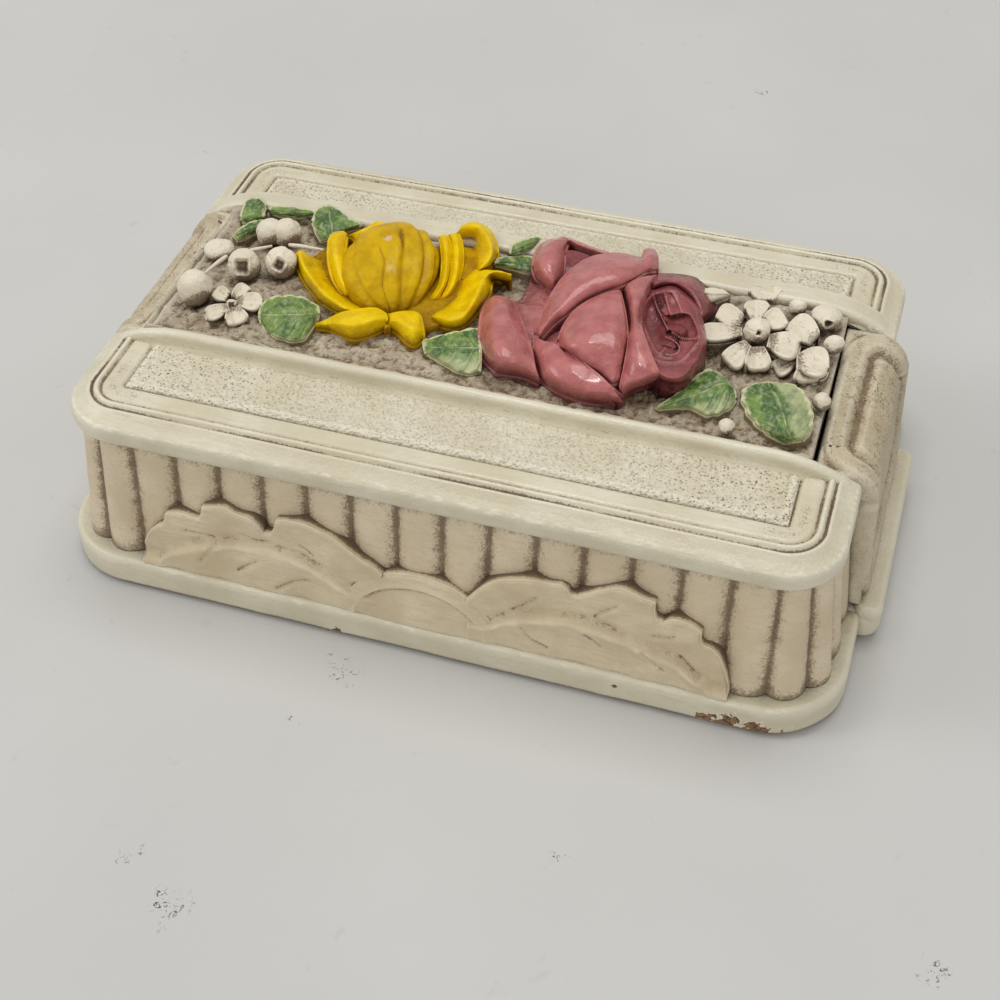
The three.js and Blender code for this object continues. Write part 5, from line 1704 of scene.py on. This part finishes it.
def build_ball(name, pixel, radius, node, opening=0, points_of_star=4, turned=0.6, tilt=0.25, tall=1.0):
    """A round bud. Its opening is in degrees from the bud's tip, which leans towards the viewer."""
    centre = lift(pixel)
    side, up, forward = sight_axes()
    tip = -forward * math.cos(tilt) - up * math.sin(tilt)
    third = np.cross(tip, side)
    off_tip = np.radians(np.linspace(1, 124, 60))[:, None]
    around = np.linspace(0, TURN, 96, endpoint=False)[None, :]
    star = 1 + 0.3 * np.abs(np.cos(points_of_star / 2 * (around - turned))) ** 3
    edge = np.radians(opening) * star
    reach = radius * np.ones_like(off_tip * around)
    groove = 0 * reach
    if opening:
        reach -= radius * 0.42 * smoothstep(edge + 0.05, edge - 0.12, off_tip)
        reach += radius * 0.08 * bell(off_tip, edge + 0.1, 0.1)
        groove = 0.5 * smoothstep(edge + 0.02, edge - 0.1, off_tip)
        reach -= radius * 0.05 * bell(around, turned + 2.2, 0.12) * smoothstep(edge, edge + 0.3, off_tip)
    out = (np.cos(off_tip)[..., None] * tip + (np.sin(off_tip) * np.cos(around))[..., None] * side
           + (np.sin(off_tip) * np.sin(around))[..., None] * third)
    out = out * np.array((1, 1, tall))
    rings = centre + out * reach[..., None]
    rings += (rough(rings, 2.2, 3, len(name)) * 0.22)[..., None]
    groove = groove + 0.34 * smoothstep(0.1, 0.75, out @ BUD_DARK_SIDE)
    points, faces = ring_solid(rings[::-1])
    add_piece(name, points, faces, white_paint, "lid", [node], 6, {"groove": groove[::-1]})


# Thin stalks over the ground, from one bud to the next
STEMS = [
    [(227, 256, 50.2), (216, 264, 49.9), (205, 273, 49.8)],
    [(246, 252, 50.6), (258, 249, 50.9), (272, 246, 50.6)],
    [(289, 245, 50.6), (305, 247, 50.8), (324, 250, 50.2)],
]
STEM_RADIUS = 0.42
STEM_UNEVENNESS = 0.12
STEM_RINGS = 30
STEM_SIDES = 16


# Each bud's middle, its radius, its node and what differs from a plain ball
BUDS = {
    "hollow_bud_left_carved": ((244, 265, 50.4), 3.9, "hollow_bud_left", {"opening": 24, "turned": 0.75}),
    "hollow_bud_right_carved": ((281, 263, 50.4), 3.8, "hollow_bud_right", {"opening": 17, "turned": 0.3}),
    "smooth_bud_carved": ((195, 288, 50.2), 4.0, "smooth_bud", {"tall": 1.1}),
    "twin_bud_left": ((270, 232, 50.6), 3.3, "twin_bud", {}),
    "twin_bud_right": ((287, 233, 50.4), 3.5, "twin_bud", {}),
    "corner_bud_carved": ((826, 317, 49.8), 3.5, "corner_bud",
                          {"opening": 13, "points_of_star": 3, "turned": 2.4, "tilt": 0.5, "tall": 0.7}),
    "corner_bud_small": ((798, 307, 49.6), 2.0, "corner_bud", {}),
    "edge_bud_carved": ((834, 345, 49.6), 2.2, "edge_bud", {}),
    "edge_bud_small": ((822, 402, 48.8), 2.0, "side_blossom", {}),
    "small_bud_carved": ((726, 427, 48.4), 1.8, "small_bud", {}),
    "rough_bud": ((219, 249, 48.4), 3.6, "twin_bud", {"tall": 0.5}),
    "little_blossom_middle": ((232, 304, 49.2), 1.3, "little_blossom", {"opening": 30}),
}


def build_buds():
    """The round buds and the stalks between them."""
    for name, (middle, radius, node, differing) in BUDS.items():
        build_ball(name, middle, radius, node, **differing)
    for i, line in enumerate(STEMS):
        build_stem(f"stem_{i + 1}", line)


def build_stem(name, line):
    """A thin stalk lying over the ground, from a traced line."""
    path = lift(spline(line, STEM_RINGS))
    along = np.gradient(path, axis=0)
    along /= np.linalg.norm(along, axis=1, keepdims=True)
    side = np.cross(along, (0, 0, 1))
    side /= np.linalg.norm(side, axis=1, keepdims=True)
    rise = np.cross(side, along)
    around = np.linspace(0, TURN, STEM_SIDES, endpoint=False)[None, :, None]
    size = STEM_RADIUS + STEM_UNEVENNESS * np.sin(np.linspace(0, 5, STEM_RINGS))[:, None, None]
    rings = path[:, None] + size * (side[:, None] * np.cos(around) + rise[:, None] * np.sin(around))
    points, faces = ring_solid(rings)
    add_piece(name, points, faces, white_paint, "lid", ["twin_bud"], 6)


# Leaves
# Name, net, node and number of side veins
LEAVES = [
    ("leaf_far_left_top", LEAF_FAR_LEFT_TOP, "leaf_far_left", 3),
    ("leaf_far_left_low", LEAF_FAR_LEFT_LOW, "leaf_far_left", 3),
    ("leaf_narrow_carved", LEAF_NARROW, "leaf_narrow", 2),
    ("leaf_back_left_carved", LEAF_BACK_LEFT, "leaf_back_left", 3),
    ("leaf_round_carved", LEAF_ROUND, "leaf_round", 5),
    ("leaf_front_middle_carved", LEAF_FRONT_MIDDLE, "leaf_front_middle", 4),
    ("leaf_back_middle_carved", LEAF_BACK_MIDDLE, "leaf_back_middle", 2),
    ("leaf_back_stalk", LEAF_BACK_STALK, "leaf_back_middle", 1),
    ("leaf_front_right_carved", LEAF_FRONT_RIGHT, "leaf_front_right", 6),
    ("leaf_corner_right_carved", LEAF_CORNER_RIGHT, "leaf_corner_right", 7),
    ("leaf_white_carved", LEAF_WHITE, "leaf_white", 2),
]
LEAF_ROWS = 90
LEAF_COLUMNS = 60
# The leaves at the strip's front lie this much lower than their traced heights
FRONT_LEAF_SINK = 0.8
# Carving of a leaf: ridges with a groove beside them, in millimetres, and teeth as a share of its width
MIDRIB_RISE = 0.22
MIDRIB_GROOVE = 0.25
VEIN_RISE = 0.10
VEIN_GROOVE = 0.18
VEIN_SLANT = 0.28
TOOTH_SHARE = 0.025
# How strongly the green thins out towards the last edge of these leaves' nets
LEAF_THIN_SIDES = {"leaf_corner_right": 1.35, "leaf_front_right": 0.6, "leaf_front_middle": 0.6}


def build_leaf(name, net, node, veins):
    """A carved leaf with toothed edges, a midrib and side veins."""
    flat = refine(net, LEAF_ROWS, LEAF_COLUMNS)
    along = np.linspace(0, 1, LEAF_ROWS)[:, None]
    across = np.linspace(-1, 1, LEAF_COLUMNS)[None, :]
    off_rib = np.abs(across)
    middle = flat[:, LEAF_COLUMNS // 2:LEAF_COLUMNS // 2 + 1, :2]
    slant = (along + VEIN_SLANT * off_rib) * (veins + 0.01)
    outer = smoothstep(0.5, 1, off_rib) * smoothstep(0, 0.1, along)
    teeth = 1 + TOOTH_SHARE * np.sin(TURN * slant) * outer
    flat[..., :2] = middle + (flat[..., :2] - middle) * teeth[..., None]
    if node == "leaf_narrow":
        taper = np.sqrt(np.sin(math.pi * (0.03 + 0.94 * along)))
        flat[..., :2] = middle + (flat[..., :2] - middle) * taper[..., None]
    if lift(flat)[..., 1].mean() < 0:
        flat[..., 2] = np.maximum(flat[..., 2] - FRONT_LEAF_SINK, CARVING_LOW + 0.4)
    grid = lift(roll_down(flat, 3.5, 1.0, CARVING_LOW))
    shown = smoothstep(0, 0.08, along) * smoothstep(1, 0.9, along)
    midrib = bell(across, 0, 0.05) * shown
    vein = bell(slant % 1, 0.5, 0.07) * smoothstep(0.02, 0.15, off_rib) * smoothstep(1, 0.8, off_rib)
    beside_vein = bell((slant - 0.16) % 1, 0.5, 0.1) * smoothstep(0.05, 0.25, off_rib)
    grid[..., 2] += MIDRIB_RISE * midrib - MIDRIB_GROOVE * bell(off_rib, 0.11, 0.05) * shown
    grid[..., 2] += VEIN_RISE * vein - VEIN_GROOVE * beside_vein
    grid[..., 2] += rough(grid, 3, 2, 60 + veins) * 0.14
    # Where the leaf paint lays a painted highlight along the midrib and veins.
    vein_highlight = np.maximum(midrib, vein * 0.5)
    thin = np.broadcast_to(smoothstep(0.05, 0.5, across * LEAF_THIN_SIDES.get(node, 0)), midrib.shape)
    paint, slot = green_paint, "green_paint"
    if node == "leaf_white":
        paint, slot = white_paint, "white_paint"
    carve(name, grid, paint, node, 0.3, masks={"vein": vein_highlight, "thin": thin}, rounds=6)


# Leaves and arch carved on the long walls
# A leaf's edge is traced in pixels as lobes that meet in notches, from the arch to the tip
RIGHT_LEAF_LOBES = [
    [(467, 600), (477, 592), (489, 584), (502, 580), (517, 579), (531, 580), (543, 583), (561, 586)],
    [(561, 586), (566, 590), (570, 596), (577, 597)],
    [(577, 597), (586, 594), (599, 591), (616, 589), (628, 591), (643, 597), (655, 602)],
    [(655, 602), (654, 607), (654.5, 613), (657, 618), (664, 622)],
    [(664, 622), (671, 620), (679, 621), (692, 626), (701, 632)],
    [(701, 632), (700, 637), (700.5, 642), (704, 646), (709, 648)],
    [(709, 648), (717, 655), (723, 668), (726, 682), (727, 695)],
]
LEFT_LEAF_LOBES = [
    [(381, 574), (370, 564), (357, 556), (343, 546), (326, 535), (305, 525), (288, 521), (277, 520)],
    [(277, 520), (275, 528), (271, 534), (262, 534)],
    [(262, 534), (257, 526), (250, 519), (237, 514), (224, 508), (213, 507), (203, 507)],
    [(203, 507), (202, 514), (200, 518), (195, 518)],
    [(195, 518), (190, 516), (185, 514), (175, 513), (166, 514)],
    [(166, 514), (165, 520), (163, 524), (159, 525)],
    [(159, 525), (151, 531), (146, 540), (144, 549), (145, 556)],
]
RIGHT_MIDRIB = [(488, 627), (505, 621), (530, 618), (560, 620), (593, 628), (626, 641), (655, 654),
                (680, 668), (700, 682), (712, 692)]
LEFT_MIDRIB = [(352, 593), (330, 580), (302, 563), (280, 555), (252, 548), (228, 545), (202, 546), (180, 549),
               (168, 554), (160, 560)]
RIGHT_VEINS = [
    [(511, 611), (523, 606), (536, 596)], [(594, 618), (602, 611), (616, 606)],
    [(521, 627), (530, 638), (546, 648)], [(585, 634), (594, 640), (600, 646)],
    [(643, 651), (652, 660), (663, 670)], [(654, 636), (668, 637), (674, 636)],
    [(679, 660), (688, 668), (699, 678)],
]
LEFT_VEINS = [
    [(241, 536), (253, 542), (265, 543)], [(201, 559), (208, 551), (216, 544)],
    [(238, 570), (250, 563), (258, 560)],
    [(185, 530), (201, 535), (212, 539)], [(277, 588), (293, 582), (309, 581)], [(300, 546), (312, 556)],
]
ARCH_MIDDLE = -0.9
ARCH_HALF_WIDTH = 17.3
ARCH_HEIGHT = 13.6
ARCH_PROUD = 2.0
LEAF_PROUD = 1.6
RELIEF_BACK = -2.6
WALL_VEIN_DEPTH = 0.42
WALL_VEIN_LIP = 0.16
WALL_TILT = math.atan2(WALL_LEAN, WALL_HEIGHT)

relief_paint = antique_paint("relief_paint", colour(228, 214, 184), colour(208, 190, 157), 0.1, 0.42,
                             dirt_and_shade=0.8, worn=0.5)


def on_long_wall(local, back):
    """From X, height and how proud a point stands to the leaning front or back wall."""
    x, up, out = local[..., 0], local[..., 1], local[..., 2]
    y = -WALL_HALF_DEPTH + up * math.sin(WALL_TILT) - out * math.cos(WALL_TILT)
    z = BASE_TOP + up * math.cos(WALL_TILT) + out * math.sin(WALL_TILT)
    placed = np.stack([x, y, z], -1)
    return placed * TURNED if back else placed


def seen_on_wall(pixels):
    """X and height on the front wall's carved face where the photograph shows these pixels."""
    ray = sight_rays(np.asarray(pixels, float))
    outward = np.array((0, -math.cos(WALL_TILT), math.sin(WALL_TILT)))
    rise = np.array((0, math.sin(WALL_TILT), math.cos(WALL_TILT)))
    foot = np.array((0, -WALL_HALF_DEPTH, BASE_TOP))
    reach = (LEAF_PROUD - (EYE - foot) @ outward) / (ray @ outward)
    spot = EYE + ray * reach[:, None]
    return np.column_stack([spot[:, 0], (spot - foot) @ rise])


def leaf_edge(lobes):
    """The leaf's edge from the arch to the tip."""
    line = np.concatenate([spline(seen_on_wall(lobe), 6 * len(lobe))[:-1] for lobe in lobes])
    return np.column_stack([line[:, 0], np.maximum(line[:, 1], 0.3)])


def add_relief(name, local, edge, back):
    """A carving on the front or back wall, from its face in the wall's own measures."""
    points, faces = carved_solid(local, edge, RELIEF_BACK)
    add_piece(f"{long_side_name(back)}_{name}", on_long_wall(points, back), faces, relief_paint, "box_body",
              ["wall_shell"], 8)


def build_wall_leaf(lobes, midrib, veins, side, back):
    """A carved leaf in columns that rise from its foot and bend to its traced edge near the top."""
    line = leaf_edge(lobes)
    up_share = np.linspace(0, 1, 74)[:, None] ** 0.8
    onward = np.maximum.accumulate(line[:, 0] * side)
    foot = side * np.convolve(np.pad(onward, 6, "edge"), np.full(13, 1 / 13), "valid")
    x = foot + (line[None, :, 0] - foot) * up_share ** 6
    up = line[None, :, 1] * up_share
    flat = np.stack([x, up], -1)
    rib = spline(seen_on_wall(midrib), 160)
    order = np.argsort(rib[:, 0])
    above = up - np.interp(x, rib[order, 0], rib[order, 1])
    below = smoothstep(1.5, -1.1, above)
    from_edge, _ = nearest_on(flat, line)
    out = LEAF_PROUD - 0.2 + 1.3 * below * np.exp(np.minimum(above, 0) / 4)
    out = out - 0.6 * bell(above, 1.7, 1.3) + 1.0 * smoothstep(2, 9, above)
    for vein in veins:
        gap, _ = nearest_on(flat, spline(seen_on_wall(vein), 30))
        out = out - WALL_VEIN_DEPTH * bell(gap, 0, 0.45) + WALL_VEIN_LIP * bell(gap, 1.3, 0.9)
    out = out - 0.3 * smoothstep(0.3, 0.0, from_edge)
    local = np.stack([x, up, out], -1)
    local[..., 2] += rough(local, 8, 2, 70 + side) * 0.6 + rough(local, 2.5, 2, 72) * 0.08
    add_relief(f"leaf_{end_name(side)}", local, 0.3, back)


def build_wall_arch(back):
    """The half round arch between the two leaves, with a raised border."""
    share = np.linspace(0.02, 1, 80)[:, None]
    around = np.linspace(0, math.pi, 150)[None, :]
    x = ARCH_MIDDLE + ARCH_HALF_WIDTH * share * np.cos(around)
    up = ARCH_HEIGHT * share * np.sin(around)
    edge = 0.83 - 0.09 * np.sin(around)
    out = ARCH_PROUD + 0.3 * smoothstep(edge, edge + 0.04, share) - 0.42 * bell(share, edge, 0.02)
    out = out + 0.9 * (1 - share ** 2) - 0.6 + 0.3 * bell(share, edge + 0.05, 0.04)
    local = np.stack([x, up, out - 0.4 * smoothstep(0.97, 1.0, share)], -1)
    local[..., 2] += rough(local, 8, 2, 73) * 0.14
    add_relief("arch", local, 0.35, back)


# Camera, lights and table
def build_camera():
    """The camera at the place from which the photograph was taken."""
    right, up, forward = sight_axes()
    place = EYE * MM
    data = bpy.data.cameras.new("photo_camera")
    data.lens = LENS
    data.sensor_width = SENSOR
    data.shift_x = 0.5 - CENTRE_PIXEL[0] / PICTURE
    data.shift_y = CENTRE_PIXEL[1] / PICTURE - 0.5
    data.clip_start = 0.01
    data.clip_end = 20
    camera = add_object("photo_camera", data)
    camera.matrix_world = Matrix((
        (right[0], up[0], -forward[0], place[0]),
        (right[1], up[1], -forward[1], place[1]),
        (right[2], up[2], -forward[2], place[2]),
        (0, 0, 0, 1),
    ))
    bpy.context.scene.camera = camera


def add_softbox(name, place, size, power):
    """A rectangular lamp turned to the box."""
    data = bpy.data.lights.new(name, "AREA")
    data.shape = "RECTANGLE"
    data.size, data.size_y = size
    data.energy = power
    lamp = add_object(name, data)
    lamp.location = place
    lamp.rotation_euler = (Vector(LIGHT_TARGET) - Vector(place)).to_track_quat("-Z", "Y").to_euler()


# Table and lights, in metres and watts
TABLE_REACH = 4.0
TABLE_STEPS = 9
LIGHTS = {
    "ceiling_panel": ((0.0, 0.4, 1.5), (0.9, 0.7), 7.6),
    "left_window": ((-1.2, -0.3, 1.0), (0.6, 0.6), 3.8),
    "ceiling_lamp": ((-0.3, 0.0, 1.5), (0.1, 0.22), 2.0),
    "front_fill": ((0.4, -1.5, 0.7), (1.4, 0.9), 3.4),
}
LIGHT_TARGET = (0, 0, 0.03)
ROOM_COLOUR = (1.0, 0.985, 0.96, 1)
ROOM_STRENGTH = 0.48
# Dark crumbs on the table: pixel x, pixel y and radius in millimetres
TABLE_MARKS = [(345, 672, 4.5), (340, 664, 3), (295, 718, 1.6), (130, 855, 2.2), (172, 908, 4.5),
               (160, 898, 2.5), (205, 152, 1.2), (555, 858, 1.2), (935, 970, 3.5), (760, 92, 2.0)]


def table_material():
    """Pale grey, faintly blotched, with clusters of dark crumbs."""
    paint = Paint("table_top", roughness=0.6)
    blotches = paint.ramp(paint.noise(120, 3), 0.3, 0.7)
    base = paint.mix(blotches, colour(200, 199, 196), colour(206, 205, 202))
    crumbs = paint.ramp(paint.noise(0.9, 6, 1.2), 0.56, 0.61)
    uneven = paint.ramp(paint.noise(3.0, 4), 0.2, 0.8, -3.0, 3.0)
    for pixel_x, pixel_y, radius in TABLE_MARKS:
        x, y, _ = lift((pixel_x, pixel_y, 0.0))
        away = paint.node("ShaderNodeVectorMath", operation="DISTANCE")
        paint.link(paint.where, away.inputs[0])
        away.inputs[1].default_value = (x, y, 0)
        near = paint.ramp(paint.plus(away.outputs["Value"], uneven), radius, radius * 0.2, 0.0, 0.85)
        base = paint.cover(base, colour(62, 58, 54), near, crumbs)
    faint = paint.ramp(paint.noise(7, 6, 1.0), 0.66, 0.8)
    base = paint.cover(base, colour(160, 157, 150), faint, 0.25)
    return paint.finish(base, None, paint.bump(paint.noise(2, 3), 0.05))


def build_stage():
    """The table, the light of the room and the lamps."""
    steps = np.linspace(-TABLE_REACH, TABLE_REACH, TABLE_STEPS)
    mesh = bpy.data.meshes.new("table")
    mesh.from_pydata(flat_grid(steps, steps).reshape(-1, 3).tolist(), [],
                     grid_faces(TABLE_STEPS, TABLE_STEPS)[:, ::-1].tolist())
    mesh.update()
    mesh.materials.append(table_material())
    table = add_object("table", mesh)
    world = bpy.data.worlds.new("soft_room")
    bpy.context.scene.world = world
    world.use_nodes = True
    background = world.node_tree.nodes["Background"]
    background.inputs["Color"].default_value = ROOM_COLOUR
    background.inputs["Strength"].default_value = ROOM_STRENGTH
    for name, (place, size, power) in LIGHTS.items():
        add_softbox(name, place, size, power)


def dress_cad_nodes():
    """Materials for the solids that still show: the felts and the hinges."""
    for name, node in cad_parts.items():
        if name in ("base_felt", "floor_felt"):
            paint = felt_paint
        elif "hinge" in name:
            paint = brass_paint
        else:
            paint = cream_paint
        node.data.materials.clear()
        node.data.materials.append(paint)


build_camera()
build_stage()
dress_cad_nodes()
build_base()
build_feet()
build_walls()
for side_sign in (-1, 1):
    build_half_lid(side_sign)
    build_strap(side_sign)
    build_wall_arch(side_sign > 0)
    build_wall_leaf(RIGHT_LEAF_LOBES, RIGHT_MIDRIB, RIGHT_VEINS, 1, side_sign > 0)
    build_wall_leaf(LEFT_LEAF_LOBES, LEFT_MIDRIB, LEFT_VEINS, -1, side_sign > 0)
build_lid_underside()
build_lid_board()
build_ground()
build_yellow_flower()
build_rose()
build_blossoms()
build_buds()
for leaf in LEAVES:
    build_leaf(*leaf)

bpy.context.scene.view_settings.view_transform = "Standard"
